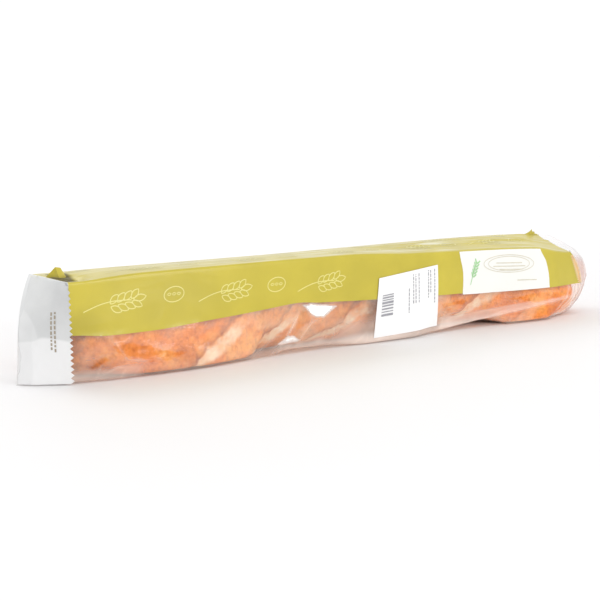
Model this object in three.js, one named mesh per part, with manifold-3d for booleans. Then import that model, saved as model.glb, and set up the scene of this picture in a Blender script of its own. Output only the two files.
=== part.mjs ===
// A long loaf sealed in a film bag: one solid for the sealed bag, one for its stuck-on label.
// Millimetres. While the shapes are made, s runs along the pack from the front left corner,
// y runs back from the front face and z is up. The meshes are then placed so that the origin
// is the centre of the pack's base.
import * as THREE from 'three';
import { ConvexGeometry } from 'three/addons/geometries/ConvexGeometry.js';
import { mergeVertices } from 'three/addons/utils/BufferGeometryUtils.js';
import Module from 'manifold-3d';

// Driving dimensions
const BODY_LENGTH = 550;
const DEPTH = 65;
const CREASE_RADIUS = 1.5;
const BACK_RADIUS = 4;
const FRONT_HEM_RADIUS = 5;
const BACK_HEM_RADIUS = 9;
const FRONT_BULGE = 2;
const BACK_BULGE = 1.5;
const TOP_DOME = 1.2;
const END_FADE = 40;

// How finely the bag is divided
const STATIONS = 54;
const CAP_RINGS = 5;
const CAP_CLOSE = 0.97;
const FRONT_ROWS = [0, 1.2, 3, 6, 14, 24, 34, 44, 54, 64];
const BACK_ROWS = [60, 48, 36, 24, 14, 8, 4, 1.4, 0];
const TOP_COLUMNS = 8;
const ROW_TOP = 72;
const SLIVER = 0.02;

// Profiles along the pack, each a list of [s, value] knots
const CREASE_HEIGHT = [[0, 71.5], [60, 74.4], [250, 75.5], [320, 72.3], [430, 70], [480, 67.9], [550, 61]];
const BACK_HEIGHT = [[0, 71.5], [60, 72], [200, 72.8], [330, 75], [440, 76], [520, 75], [550, 73]];
const HEM_LIFT = [
  [0, 0], [165, 0], [190, 2.6], [226, 1.8], [262, 0],
  [335, 0], [378, 3.6], [412, 6], [440, 0], [550, 0],
];
const HEM_LINE = [
  [0, 0.6], [30, -5], [100, -9], [165, -1], [226, 0.5], [270, -6], [315, -7],
  [345, 0], [410, 0], [445, -9], [485, -12], [520, -5], [550, 0],
];

// The pocket in the top face where the gusset tucks in at the left
const POCKET = { s: 15, y: 20, depth: 4, length: 6, width: 12 };

// The end fins, folded forward over both ends, with a zigzag cut on the free edge
const FIN_THICKNESS = 1.0;
const FIN_ROOT = 3;
const FIN_CREASE_AT = 0.7;
const FIN_CREASE_PUFF = 2.2;
const FIN_CORNER = 5;
const FIN_LIFT = 0.6;
const FIN_PARTS = [0, 0.04, 0.2, 0.45, FIN_CREASE_AT, 1];
const TOOTH_PITCH = 4;
const TOOTH_LENGTH = 2.8;
const TOOTH_ROOT = 0.2;
const LEFT_FOLD = { least: 1.2, reach: 26.5, flare: 4.5, height: 71.5, y: 22, lean: 42 };
const RIGHT_FOLD = {
  reach: 24, height: 74, y: 25, lean: 29, widest: 34, highSpan: 40, lowTuck: 23, highTuck: 21,
};

// The body's right end is cut at a slant in front, over this last stretch
const RIGHT_STRETCH = 70;
const RIGHT_SLANT = { least: 8, above: 20, below: 32, z: 28, highSpan: 36 };

// The gusset corners that stand up at the top of each end
const LEFT_CORNER = {
  s: 7, y: 36, z: 78.5, ridge: 4, ridgeDrop: 0.7, halfLength: 8, halfWidth: 8, skew: 3, foot: 69.5,
};
const RIGHT_CORNER = { s: 541, z: 78.4, run: 15, drop: 9.9, teeth: 4, back: 34.5, thickness: 1.4, foot: 62 };
const EAR_SHOULDER = { below: 8, bendBelow: 4 };
const EAR_TOOTH = { width: 3.4, height: 0.4 };
const EAR_INSET = 0.6;

// The stuck-on label: its corners on the front face as [s, z], from the lower left
const LABEL_CORNERS = [[270, 4.9], [346.7, 7.1], [346.3, 60.9], [278.5, 54.1]];
const LABEL_THICKNESS = 0.4;
const LABEL_GAP = 0.3;
const LABEL_COLUMNS = 12;
const LABEL_ROWS = 10;
const LABEL_CLEARANCE_REACH = 1.5;

const { lerp, clamp } = THREE.MathUtils;
const bump = (x, centre, width) => Math.exp(-(((x - centre) / width) ** 2));

// The value at s of a smooth curve through the knots, which never swings past them
function along(knots, s) {
  const last = knots.length - 1;
  if (s <= knots[0][0]) return knots[0][1];
  if (s >= knots[last][0]) return knots[last][1];
  let i = 0;
  while (s > knots[i + 1][0]) i += 1;
  const grade = (k) => (knots[k + 1][1] - knots[k][1]) / (knots[k + 1][0] - knots[k][0]);
  const slope = (k) => {
    if (k === 0 || k === last) return 0;
    const before = grade(k - 1);
    const after = grade(k);
    return before * after > 0 ? (2 * before * after) / (before + after) : 0;
  };
  const span = knots[i + 1][0] - knots[i][0];
  const t = (s - knots[i][0]) / span;
  const rise = t * t * (3 - 2 * t);
  const leaving = t * (1 - t) ** 2;
  const arriving = t * t * (t - 1);
  return lerp(knots[i][1], knots[i + 1][1], rise) + span * (slope(i) * leaving + slope(i + 1) * arriving);
}

// How far a face is drawn in near the floor by its rounded hem
function hemInset(height, radius) {
  const u = clamp((radius - height) / radius, 0, 1);
  return radius * (1 - Math.sqrt(1 - u * u));
}

// The faces bulge less towards both ends, where the bag is folded flat
const endFade = (s) => clamp(s / END_FADE, 0, 1) * clamp((BODY_LENGTH - s) / END_FADE, 0, 1);

function frontY(s, z) {
  const up = clamp(z / along(CREASE_HEIGHT, s), 0, 1);
  const bulge = FRONT_BULGE * Math.sin(Math.PI * up) * endFade(s);
  return along(HEM_LINE, s) * (1 - up) ** 2 - bulge + hemInset(z, FRONT_HEM_RADIUS);
}

function backY(s, z) {
  const up = clamp(z / along(BACK_HEIGHT, s), 0, 1);
  const bulge = BACK_BULGE * Math.sin(Math.PI * up) * endFade(s);
  return DEPTH - 2 * (1 - up) + bulge - hemInset(z, BACK_HEM_RADIUS);
}

function topZ(s, y) {
  const across = clamp(y / DEPTH, 0, 1);
  const level = lerp(along(CREASE_HEIGHT, s), along(BACK_HEIGHT, s), across);
  const pocket = POCKET.depth * bump(s, POCKET.s, POCKET.length) * bump(y, POCKET.y, POCKET.width);
  return level + TOP_DOME * Math.sin(Math.PI * across) * endFade(s) - pocket;
}

// One closed section of the bag as [y, z] points: up the front from its hem, over the
// crease, back across the top, down the back and forward under the bag
function section(s) {
  const points = [];
  const lift = along(HEM_LIFT, s);
  const crease = along(CREASE_HEIGHT, s);
  const back = along(BACK_HEIGHT, s);
  for (const row of FRONT_ROWS) {
    const z = (row * (crease - CREASE_RADIUS)) / ROW_TOP;
    points.push([frontY(s, z), z + lift * (1 - row / ROW_TOP)]);
  }
  for (const angle of [0, Math.PI / 4, Math.PI / 2]) {
    const y = CREASE_RADIUS * (1 - Math.cos(angle));
    points.push([y, crease - CREASE_RADIUS * (1 - Math.sin(angle))]);
  }
  for (let i = 1; i < TOP_COLUMNS; i += 1) {
    const y = lerp(CREASE_RADIUS, DEPTH - BACK_RADIUS, i / TOP_COLUMNS);
    points.push([y, topZ(s, y)]);
  }
  for (const angle of [0, Math.PI / 6, Math.PI / 3, Math.PI / 2]) {
    const y = DEPTH - BACK_RADIUS * (1 - Math.sin(angle));
    points.push([y, back - BACK_RADIUS * (1 - Math.cos(angle))]);
  }
  for (const row of BACK_ROWS) points.push([backY(s, row), row]);
  for (const t of [0.25, 0.5, 0.75]) points.push([lerp(backY(s, 0), frontY(s, 0), t), lift * t * t]);
  return points;
}

// The body's right end: its front edge slants in above and below, its back edge is upright
function rightEnd(y, z) {
  const { least, above, below, highSpan } = RIGHT_SLANT;
  const off = z - RIGHT_SLANT.z;
  const slant = off > 0 ? above * (off / highSpan) ** 2 : below * (off / RIGHT_SLANT.z) ** 2;
  return BODY_LENGTH - (least + slant) * (1 - clamp(y / DEPTH, 0, 1));
}

// The lines along which the fins fold back on themselves, at height z
function leftFold(z) {
  const up = clamp(z / LEFT_FOLD.height, 0, 1);
  const reach = (LEFT_FOLD.reach - LEFT_FOLD.least) * (1 - up ** 2.6) + LEFT_FOLD.flare * (1 - up) ** 3;
  const s = -LEFT_FOLD.least - reach;
  return [s, LEFT_FOLD.y + LEFT_FOLD.lean * up ** 1.7, Math.min(z, LEFT_FOLD.height)];
}

function rightFold(z) {
  const low = clamp(1 - z / RIGHT_FOLD.widest, 0, 1);
  const high = clamp((z - RIGHT_FOLD.widest) / RIGHT_FOLD.highSpan, 0, 1);
  const reach = RIGHT_FOLD.reach - RIGHT_FOLD.lowTuck * low ** 1.3 - RIGHT_FOLD.highTuck * high ** 2;
  return [BODY_LENGTH + reach, RIGHT_FOLD.y + RIGHT_FOLD.lean * high ** 3, Math.min(z, RIGHT_FOLD.height)];
}

// The bag's rings of points, from the left fold along the body to the right fold
function bagRings() {
  const rings = [];
  for (let k = CAP_RINGS; k >= 1; k -= 1) {
    const t = (CAP_CLOSE * k) / CAP_RINGS;
    rings.push(section(0).map(([y, z]) => {
      const fold = leftFold(z);
      const puff = (FIN_CREASE_PUFF / 2) * Math.sin(Math.PI * t) * (1 - (z / LEFT_FOLD.height) ** 4);
      return [fold[0] * t - puff, lerp(y, fold[1], t), lerp(z, fold[2], t)];
    }));
  }
  for (let k = 0; k <= STATIONS; k += 1) {
    const s = (BODY_LENGTH * k) / STATIONS;
    const near = clamp(1 - (BODY_LENGTH - s) / RIGHT_STRETCH, 0, 1);
    rings.push(section(s).map(([y, z]) => [s + (rightEnd(y, z) - BODY_LENGTH) * near, y, z]));
  }
  const end = rings[rings.length - 1];
  for (let k = 1; k <= CAP_RINGS; k += 1) {
    const t = (CAP_CLOSE * k) / CAP_RINGS;
    rings.push(end.map(([s, y, z]) => {
      const fold = rightFold(z);
      return [lerp(s, fold[0], Math.sin((Math.PI / 2) * t)), lerp(y, fold[1], t), lerp(z, fold[2], t)];
    }));
  }
  return rings;
}

// A closed skin over rings of equal length. Each end is zipped shut between its two chains,
// from the first point up to the turn and from the last point down to it, by their level.
function loft(rings, turn, level) {
  const count = rings[0].length;
  const far = (rings.length - 1) * count;
  const index = [];
  for (let a = 0; a < far; a += 1) {
    const b = a % count === count - 1 ? a - count + 1 : a + 1;
    index.push(a, b + count, b, a, a + count, b + count);
  }
  let up = 0;
  let down = count - 1;
  while (down - up > 1) {
    const climb = up < turn && (down - 1 <= turn || level(up + 1) <= level(down - 1));
    const next = climb ? up + 1 : down - 1;
    index.push(up, next, down);
    index.push(far + up, far + down, far + next);
    if (climb) up = next;
    else down = next;
  }
  const geometry = new THREE.BufferGeometry();
  geometry.setAttribute('position', new THREE.Float32BufferAttribute(rings.flat(2), 3));
  geometry.setIndex(index);
  return geometry;
}

function bag() {
  const outline = section(0);
  const sum = outline.map(([y, z]) => y + z);
  const backCorner = sum.indexOf(Math.max(...sum));
  return loft(bagRings(), backCorner, (i) => outline[i][1]);
}

// A thin sheet between two grids of points, given in the order that turns its faces outwards
function sheet(first, second) {
  const columns = first[0].length;
  const rings = first.map((row, r) => [...row, ...second[r].slice().reverse()]);
  return loft(rings, columns - 1, (i) => (i < columns ? i : 2 * columns - 1 - i));
}

// A fin lying over an end, from its zigzag edge at the corner back to where it meets the
// bag's own skin, a share of the way to its fold. side is 1 at the left end, -1 at the right.
function fin({ edgeAt, foldAt, low, high, share, creasePuff, side }) {
  const steps = 2 * Math.floor((high - low) / TOOTH_PITCH);
  const outer = [];
  const inner = [];
  for (let i = 0; i <= steps; i += 1) {
    const z = lerp(low, high, i / steps);
    const edge = new THREE.Vector3(...edgeAt(z));
    const fold = new THREE.Vector3(...foldAt(z));
    const run = edge.clone().sub(fold).setZ(0).normalize();
    const face = new THREE.Vector3(run.y, -run.x, 0).multiplyScalar(side);
    const rounding = FIN_CORNER * clamp((z - high + FIN_CORNER) / FIN_CORNER, 0, 1) ** 2;
    const tooth = (i % 2 ? TOOTH_LENGTH : TOOTH_ROOT) - rounding;
    const flat = 1 - (z / LEFT_FOLD.height) ** 4;
    const outerRow = [];
    const innerRow = [];
    for (const part of FIN_PARTS) {
      const t = part * share;
      const puff = creasePuff * flat * Math.min(part / FIN_CREASE_AT, (1 - part) / (1 - FIN_CREASE_AT));
      const lift = FIN_LIFT * (1 - part) + puff;
      const under = t === 0 ? lift - FIN_THICKNESS : -FIN_ROOT;
      const place = edge.clone().lerp(fold, t).addScaledVector(run, t === 0 ? tooth : 0);
      outerRow.push(place.clone().addScaledVector(face, lift).toArray());
      innerRow.push(place.clone().addScaledVector(face, under).toArray());
    }
    outer.push(outerRow);
    inner.push(innerRow);
  }
  return side > 0 ? sheet(outer, inner) : sheet(inner, outer);
}

// The folded gusset corner standing on the left end: a small tent
function leftCorner() {
  const { s, y, z, ridge, ridgeDrop, halfLength, halfWidth, skew, foot } = LEFT_CORNER;
  return new ConvexGeometry([
    new THREE.Vector3(s - halfLength, y + skew, foot),
    new THREE.Vector3(s + halfLength, y - skew, foot),
    new THREE.Vector3(s, y, z),
    new THREE.Vector3(s + ridge, y, z - ridgeDrop),
    new THREE.Vector3(s, y - halfWidth, foot),
    new THREE.Vector3(s, y + halfWidth, foot),
  ]);
}

// The gusset corner standing on the back of the right end: a flat ear cut in teeth
function rightCorner() {
  const { s, z, run, drop, teeth, back, thickness, foot } = RIGHT_CORNER;
  const outline = new THREE.Shape();
  outline.moveTo(s - back, foot);
  outline.lineTo(s - back, z - EAR_SHOULDER.below);
  outline.quadraticCurveTo(s - run, z - EAR_SHOULDER.bendBelow, s, z);
  for (let i = 1; i <= teeth; i += 1) {
    const t = i / teeth;
    outline.lineTo(s + run * t - EAR_TOOTH.width, z - drop * t + EAR_TOOTH.height);
    outline.lineTo(s + run * t, z - drop * t);
  }
  outline.lineTo(s + run - EAR_TOOTH.width, foot);
  const ear = new THREE.ExtrudeGeometry(outline, { depth: thickness, bevelEnabled: false, curveSegments: 4 });
  ear.rotateX(Math.PI / 2);
  ear.translate(0, DEPTH - EAR_INSET, 0);
  return ear;
}

// The label follows the front face, a hair clear of it
function label() {
  const [lowerLeft, lowerRight, upperRight, upperLeft] = LABEL_CORNERS;
  const outer = [];
  const inner = [];
  for (let r = 0; r <= LABEL_ROWS; r += 1) {
    const v = r / LABEL_ROWS;
    const outerRow = [];
    const innerRow = [];
    for (let c = 0; c <= LABEL_COLUMNS; c += 1) {
      const u = c / LABEL_COLUMNS;
      const s = lerp(lerp(lowerLeft[0], lowerRight[0], u), lerp(upperLeft[0], upperRight[0], u), v);
      const z = lerp(lerp(lowerLeft[1], lowerRight[1], u), lerp(upperLeft[1], upperRight[1], u), v);
      const heights = [z - LABEL_CLEARANCE_REACH, z, z + LABEL_CLEARANCE_REACH];
      const skin = Math.min(...heights.map((height) => frontY(s, height))) - LABEL_GAP;
      outerRow.push([s, skin - LABEL_THICKNESS, z]);
      innerRow.push([s, skin, z]);
    }
    outer.push(outerRow);
    inner.push(innerRow);
  }
  return sheet(inner, outer);
}

const wasm = await Module();
wasm.setup();

// A closed geometry as a solid, and back
function toSolid(geometry) {
  const bare = geometry.clone();
  bare.deleteAttribute('normal');
  bare.deleteAttribute('uv');
  const merged = mergeVertices(bare, 1e-4);
  return new wasm.Manifold(new wasm.Mesh({
    numProp: 3,
    vertProperties: Float32Array.from(merged.getAttribute('position').array),
    triVerts: Uint32Array.from(merged.getIndex().array),
  }));
}

function toGeometry(solid) {
  const mesh = solid.getMesh();
  const geometry = new THREE.BufferGeometry();
  geometry.setAttribute('position', new THREE.Float32BufferAttribute(mesh.vertProperties, 3));
  geometry.setIndex(Array.from(mesh.triVerts));
  return geometry;
}

function named(name, geometry, colour, roughness) {
  const material = new THREE.MeshStandardMaterial({ name, color: colour, roughness, metalness: 0 });
  const mesh = new THREE.Mesh(geometry, material);
  mesh.name = name;
  mesh.geometry.computeVertexNormals();
  return mesh;
}

const leftFin = {
  edgeAt: (z) => [0, 0.4, z],
  foldAt: leftFold,
  low: 1.6,
  high: 70.8,
  share: 0.97,
  creasePuff: FIN_CREASE_PUFF,
  side: 1,
};
const rightFin = {
  edgeAt: (z) => [rightEnd(0, z) - 0.4, 0.6, z],
  foldAt: rightFold,
  low: 12,
  high: 62,
  share: 0.12,
  creasePuff: 0,
  side: -1,
};
const pieces = [
  fin(leftFin),
  fin(rightFin),
  leftCorner(),
  rightCorner(),
];
const joined = pieces.reduce((solid, piece) => solid.add(toSolid(piece)), toSolid(bag()));

const pack = named('pack', toGeometry(joined.simplify(SLIVER)), 0xd2c85f, 0.3);
const priceLabel = named('price_label', label(), 0xf4f4f2, 0.5);

const packedLoaf = new THREE.Group();
packedLoaf.name = 'packed_loaf';
packedLoaf.add(pack, priceLabel);
pack.geometry.computeBoundingBox();
const { min, max } = pack.geometry.boundingBox;
packedLoaf.position.set(-(min.x + max.x) / 2, -(min.y + max.y) / 2, -min.z);

export default packedLoaf;
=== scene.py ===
"""A baguette in a sealed film bag, printed green above and clear below.

Shapes are worked out in millimetres in the pack's own frame: s runs along the pack from its
front left corner, y runs back from the front face, and z is up. place() turns them into the
part's frame, in metres. Most functions work on whole arrays of points at once.
"""

import math

import bpy
import numpy as np
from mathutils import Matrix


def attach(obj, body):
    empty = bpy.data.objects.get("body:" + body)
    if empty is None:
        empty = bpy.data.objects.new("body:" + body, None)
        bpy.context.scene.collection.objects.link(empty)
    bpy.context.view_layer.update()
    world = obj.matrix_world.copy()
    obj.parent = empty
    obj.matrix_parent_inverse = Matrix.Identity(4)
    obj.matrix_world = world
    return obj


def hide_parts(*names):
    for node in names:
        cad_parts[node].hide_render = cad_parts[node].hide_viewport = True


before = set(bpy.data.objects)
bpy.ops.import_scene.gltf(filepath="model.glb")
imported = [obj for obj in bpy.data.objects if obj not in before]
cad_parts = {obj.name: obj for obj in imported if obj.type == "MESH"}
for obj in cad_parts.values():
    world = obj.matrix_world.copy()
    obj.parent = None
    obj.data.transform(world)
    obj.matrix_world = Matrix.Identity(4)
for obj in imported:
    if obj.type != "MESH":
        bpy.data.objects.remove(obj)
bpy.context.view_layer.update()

MM = 0.001

# The part's origin in the pack's own frame
ORIGIN = (271.874, 27.48, 0.0)

# The pack, as in the solid
BODY_LENGTH = 550.0
DEPTH = 65.0
CREASE_RADIUS = 1.5
BACK_RADIUS = 4.0
FRONT_HEM_RADIUS = 5.0
BACK_HEM_RADIUS = 9.0
FRONT_BULGE = 2.0
BACK_BULGE = 1.5
TOP_DOME = 1.2
END_FADE = 40.0
ROW_TOP_HEIGHT = 72.0
CREASE_HEIGHT = [(0, 71.5), (60, 74.4), (250, 75.5), (320, 72.3), (430, 70), (480, 67.9), (550, 61)]
BACK_HEIGHT = [(0, 71.5), (60, 72), (200, 72.8), (330, 75), (440, 76), (520, 75), (550, 73)]
HEM_LIFT = [
    (0, 0), (165, 0), (190, 2.6), (226, 1.8), (262, 0),
    (335, 0), (378, 3.6), (412, 6), (440, 0), (550, 0),
]
HEM_LINE = [
    (0, 0.6), (30, -5), (100, -9), (165, -1), (226, 0.5), (270, -6), (315, -7),
    (345, 0), (410, 0), (445, -9), (485, -12), (520, -5), (550, 0),
]
POCKET = {"s": 15, "y": 20, "depth": 4, "length": 6, "width": 12}
LEFT_FOLD = {"least": 1.2, "reach": 26.5, "flare": 4.5, "height": 71.5, "y": 22, "lean": 42}
RIGHT_FOLD = {
    "reach": 24, "height": 74, "y": 25, "lean": 29,
    "widest": 34, "high_span": 40, "low_tuck": 23, "high_tuck": 21,
}
RIGHT_STRETCH = 70.0
RIGHT_SLANT = {"least": 8, "above": 20, "below": 32, "z": 28, "high_span": 36}
FIN_CREASE_AT = 0.7
FIN_CREASE_PUFF = 2.2
FIN_LIFT = 0.6
FIN_CORNER = 5.0
FIN_SHEET = 0.3
TOOTH_PITCH = 4.0
TOOTH_LENGTH = 2.8
TOOTH_ROOT = 0.2

# The stuck-on label: its corners as (s, z), its panes, and how far its face stands off the film
LABEL_CORNERS = ((270.0, 4.9), (346.7, 7.1), (346.3, 60.9), (278.5, 54.1))
LABEL_PANES = (12, 10)
LABEL_REACH = 1.5
LABEL_FACE = 0.7

# Where the film turns flat behind the label: from and to, at its left, right and top
LABEL_FLAT = {"left": (265, 278), "right": (344, 352), "top": (58, 67)}

# The standing gusset corners: the left one's ridge and foot, and the right one's cut edge
LEFT_RIDGE = ((7.0, 36.0, 78.5), (11.0, 36.0, 77.8))
LEFT_FOOT = ((-1, 39, 69.5), (7, 28, 69.5), (15, 33, 69.5), (7, 44, 69.5))
RIGHT_CORNER = {"s": 541.0, "z": 78.4, "run": 15.0, "drop": 9.9, "teeth": 4, "foot": 62.0, "thickness": 0.5}

# How finely the film is divided
STATION_STEP = 1.3
CAP_RINGS = 26
LOWER_ROWS = 34
UPPER_ROWS = 32
ARC_ROWS = 4
TOP_ROWS = 42
BACK_UPPER_ROWS = 18
BACK_LOWER_ROWS = 18
BOTTOM_ROWS = 16

# Row ranges round the bag, from the front hem up, over and under again
ROW_EDGE = LOWER_ROWS
ROW_CREASE = ROW_EDGE + UPPER_ROWS
ROW_TOP = ROW_CREASE + ARC_ROWS
ROW_BACK = ROW_TOP + TOP_ROWS
ROW_BACK_UPPER = ROW_BACK + ARC_ROWS
ROW_BACK_EDGE = ROW_BACK_UPPER + BACK_UPPER_ROWS
ROW_BACK_HEM = ROW_BACK_EDGE + BACK_LOWER_ROWS
ROWS = ROW_BACK_HEM + BOTTOM_ROWS

# Folds of the window as paths of (s, z), with their height, width and share of white
LONG_FOLD = (
    (344, 1.1), (382, 4.5), (410, 7.5), (431, 11.2),
    (462, 14.7), (483, 16.3), (516, 17.7), (533, 18.6),
)
WINDOW_FOLDS = (
    (LONG_FOLD, 1.8, 1.2, 0.55),
    (((28, 31), (35, 23), (41, 14.5), (52, 12), (81, 11.5)), 0.7, 1.3, 0.24),
    (((182.8, 13.6), (186, 18), (189.7, 23.4), (195, 32)), 0.8, 1.2, 0.55),
    (((194, 6), (202, 17), (208, 23), (221, 27.5)), 0.7, 1.2, 0.28),
    (((148, 1), (160, 9), (172, 15), (180, 17)), 0.6, 1.3, 0.22),
    (((349, 13), (366, 16.5), (392, 16), (425, 14.8)), 0.7, 1.4, 0.22),
    (((351, 20), (364, 22.5), (372, 22.8)), 0.6, 1.0, 0.35),
    (((20, 4), (33, 9), (46, 8)), 0.6, 1.2, 0.25),
    (((440, 26), (470, 27.5), (505, 25.5), (528, 27)), 0.4, 1.2, 0.14),
    (((226, 5), (245, 14), (262, 24)), 0.5, 1.6, 0.12),
)

# Folds round the right end, as (share of the way over it, strength), and their width
END_CRESTS = ((0.16, 0.7), (0.36, 1.0), (0.58, 0.8), (0.80, 0.9))
END_CREST_WIDTH = 0.03

# The same folds on the window, as (distance short of the end, strength), and their width
EDGE_CRESTS = ((2.5, 0.8), (8.0, 1.0), (13.5, 0.8), (22.0, 0.5))
EDGE_CREST_WIDTH = 1.5

# Facets of crumpled film that mirror the light and carry a painted highlight, as corners in clockwise order
GLINTS = (
    ((200.4, 38.1), (209.4, 38.9), (232.9, 34.8), (219.9, 26.5), (212.7, 27.2), (206.5, 31.5)),
    ((174, 8.6), (186, 15.3), (191, 14.4), (196.3, 10.5), (193.4, 9.2), (182.4, 8.8)),
)
GLINT_LEAN = 0.10
GLINT_TILT = 0.25
GLINT_MIRROR = 0.55

# How milky the loose film below the loaf is along the pack
SKIRT_HAZE = [
    (0, 0.22), (42, 0.22), (60, 0.04), (160, 0.04), (195, 0.34),
    (345, 0.32), (420, 0.16), (445, 0.04), (550, 0.05),
]
HAZE_LIMITS = (0.015, 0.9)

# Places where the film lies against the loaf and is quite clear, as corners in clockwise order
CONTACTS = (
    ((29.5, 24), (39, 27.4), (54, 23.4), (70, 18), (66, 11.2), (43, 13.6)),
    ((52, 21), (72, 17.8), (87, 14), (78, 10.4), (58, 10.8)),
    ((12, 10.5), (25, 16.5), (28, 15), (21.5, 11.8), (17, 9.5)),
    ((197, 36), (203, 33), (208, 27), (206, 24), (193, 18), (191, 21), (193.6, 27)),
    ((352, 26), (372, 28), (384, 26), (372, 21.5), (352, 19)),
    ((430, 24), (470, 28), (520, 27.5), (526, 21), (500, 20), (466, 18.5)),
    ((444, 9), (480, 13), (508, 13), (514, 6), (470, 3)),
)

# Where the print ends on the front and on the back
PRINT_EDGE = [
    (0, 34.4), (29, 32.2), (60, 32.4), (102, 34.8), (148, 37.4), (182, 39.6), (196, 40.2),
    (216, 38.7), (273, 36.8), (349, 33.6), (399, 31.3), (449, 30.6), (505, 30), (550, 30.2),
]
BACK_PRINT_EDGE = 36.0

# How strong the painted glare, pale streaks on the top, is along the pack
PAINTED_GLARE_SHARE = [
    (0, 0.1), (70, 0.12), (115, 0.4), (150, 0.35), (280, 0.6),
    (370, 0.8), (400, 0.15), (445, 0.1), (470, 0.28), (550, 0.1),
]

# Where shade is painted into the print, in the dark fold behind the fin's upper corner, as (s, y)
POCKET_SHADE = ((-1, 2), (-1, 26), (7, 52), (21, 52), (17, 22), (9, 2))

# The print's repeat: height up the front and on over the top, first place and slant of each row
PRINT_ROWS = ((54.0, 36.0, 0.16), (92.0, 62.0, 0.10), (121.0, 18.0, 0.12))
PRINT_PITCH = 46.0
PRINT_LAST = 532.0
PRINT_EAR = 52.0
PRINT_RING = (8.5, 5.4)
PRINT_SEED = (3.0, 1.7)
PRINT_STROKE = 0.75
PRINT_SEED_STROKE = 0.6
PRINT_MARGIN = 17.0
CREASE_LEVEL = 74.0

# What covers the lowest row of the print, as (from, to): the label and the white panel
PRINT_GAPS = ((252, 366), (352, 512))

# The white panel: its curved sides as (z, s), its loop, its sprig and its plain rules, each
# rule as height, start, length and width
PANEL_LEFT = [(29, 377.2), (50, 377.8), (70.6, 374.0)]
PANEL_RIGHT = [(29, 489.3), (40.7, 490.1), (54.1, 487.9), (67.6, 480.9)]
PANEL_SPAN = (377, 486)
PANEL_GRID = (90, 36)
PANEL_RULES = ((58.5, 420, 34, 0.8), (55.5, 416, 42, 0.8), (52.5, 424, 30, 0.8), (42.5, 446, 26, 0.8))
PANEL_SLOPE = 0.05
PANEL_LEVEL_AT = 400
LOOP_AT = (437, 56)
LOOP_SIZE = (33, 8.0)
SPRIG_AT = (392.0, 52.0)
SPRIG_LEAN = 1.15
SPRIG_SPREAD = 0.62

# How far each layer of print stands off the film
LINES_OFF = 0.16
PANEL_OFF = 0.14
PANEL_MARKS_OFF = 0.32
BAND_OFF = 0.22
TEETH_OFF = 0.34
LABEL_MARKS_OFF = 0.22
CODE_OFF = 0.15

# The pale zigzag band on the print's right end
END_TEETH = 13
END_TOOTH = 2.8
END_BAND = 5.0

# Marks on the label, as (place across, low, high): lines of dashes, and the bars' span
LABEL_LINES = (
    (0.50, 0.32, 0.72), (0.57, 0.46, 0.95), (0.61, 0.46, 0.93), (0.665, 0.46, 0.95),
    (0.83, 0.50, 0.95), (0.87, 0.58, 0.95), (0.94, 0.40, 0.95),
)
LABEL_BARS = (0.34, 0.70)

# Rows of dashes on the left fin, as (place across, low, high)
FIN_CODE_ROWS = ((0.26, 23.0, 49.0), (0.33, 24.5, 48.0))

# How closely a fin's columns of points crowd towards its cut edge
FIN_SPACING = 1.3

# The loaf
LOAF_RINGS = 540
LOAF_AROUND = 180
LOAF_START = 1.5
LOAF_END = 553.0
LOAF_BACK = 60.0
LOAF_FRONT = [
    (0, 6), (20, 1), (50, -3), (75, -7), (110, -8.5), (145, -4), (175, 3), (230, 5), (300, 3),
    (350, 2), (400, 2), (430, -4), (460, -9), (495, -10), (525, -4), (557, 4),
]
LOAF_BOTTOM = 1.0
LOAF_TOP = 63.0
LOAF_LEFT_TAPER = 14.0
LOAF_RIGHT_TAPER = 56.0
LOAF_GAP = 0.8
LOAF_HEADROOM = 9.0
LOAF_ROUND = 2.1
LOAF_BOXY = 8.0

# Where each score starts, and how pale it is
SCORES = (
    (-50, 0.15), (81, 1.0), (137, 0.9), (207, 1.0),
    (283, 1.0), (352, 0.9), (425, 0.25), (492, 0.15),
)
SCORE_LENGTH = 150.0
SCORE_ANGLES = (15.0, 185.0)
SCORE_HALF_WIDTH = 8.5
CRUST_PER_DEGREE = 0.52

# A map of where the film lies, in 1 mm cells of s and z
FIELD_START = -20
FIELD_BASE = -4
FIELD_SIZE = (610, 92)
FIELD_GROWTH = 9
FAR = 1e9

# Colours, linear
PRINT_GREEN = (0.565, 0.47, 0.052)
# The colour of the print's painted shade
PRINT_PAINTED_SHADE = (0.10, 0.078, 0.010)
PRINT_LINE = (0.80, 0.74, 0.25)
TEETH_CREAM = (0.88, 0.66, 0.34)
TEETH_WARM = (0.90, 0.40, 0.16)
PANEL_WHITE = (0.88, 0.88, 0.84)
PANEL_GREY = (0.60, 0.56, 0.44)
PANEL_GREEN = (0.30, 0.60, 0.26)
# The fin's white print greyed by painted shade, in two tones, and its milky white film
FLAP_SHADED_GREY = (0.74, 0.75, 0.745)
FLAP_SHADED_DARK = (0.66, 0.67, 0.67)
FLAP_WHITE = (0.93, 0.93, 0.93)
BACK_WHITE = (0.80, 0.81, 0.81)
# The film's milky haze; its pink tint is painted light, the loaf's light scattered in the haze
FILM_HAZE_WITH_LOAF_LIGHT = (0.96, 0.80, 0.71)
END_HAZE = (0.94, 0.70, 0.62)
# The pale colour of the painted glare on the top
PAINTED_GLARE = (0.84, 0.83, 0.68)
CRUST = (0.95, 0.31, 0.045)
CRUST_DARK = (0.80, 0.21, 0.024)
CRUST_LIGHT = (0.98, 0.44, 0.10)
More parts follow.
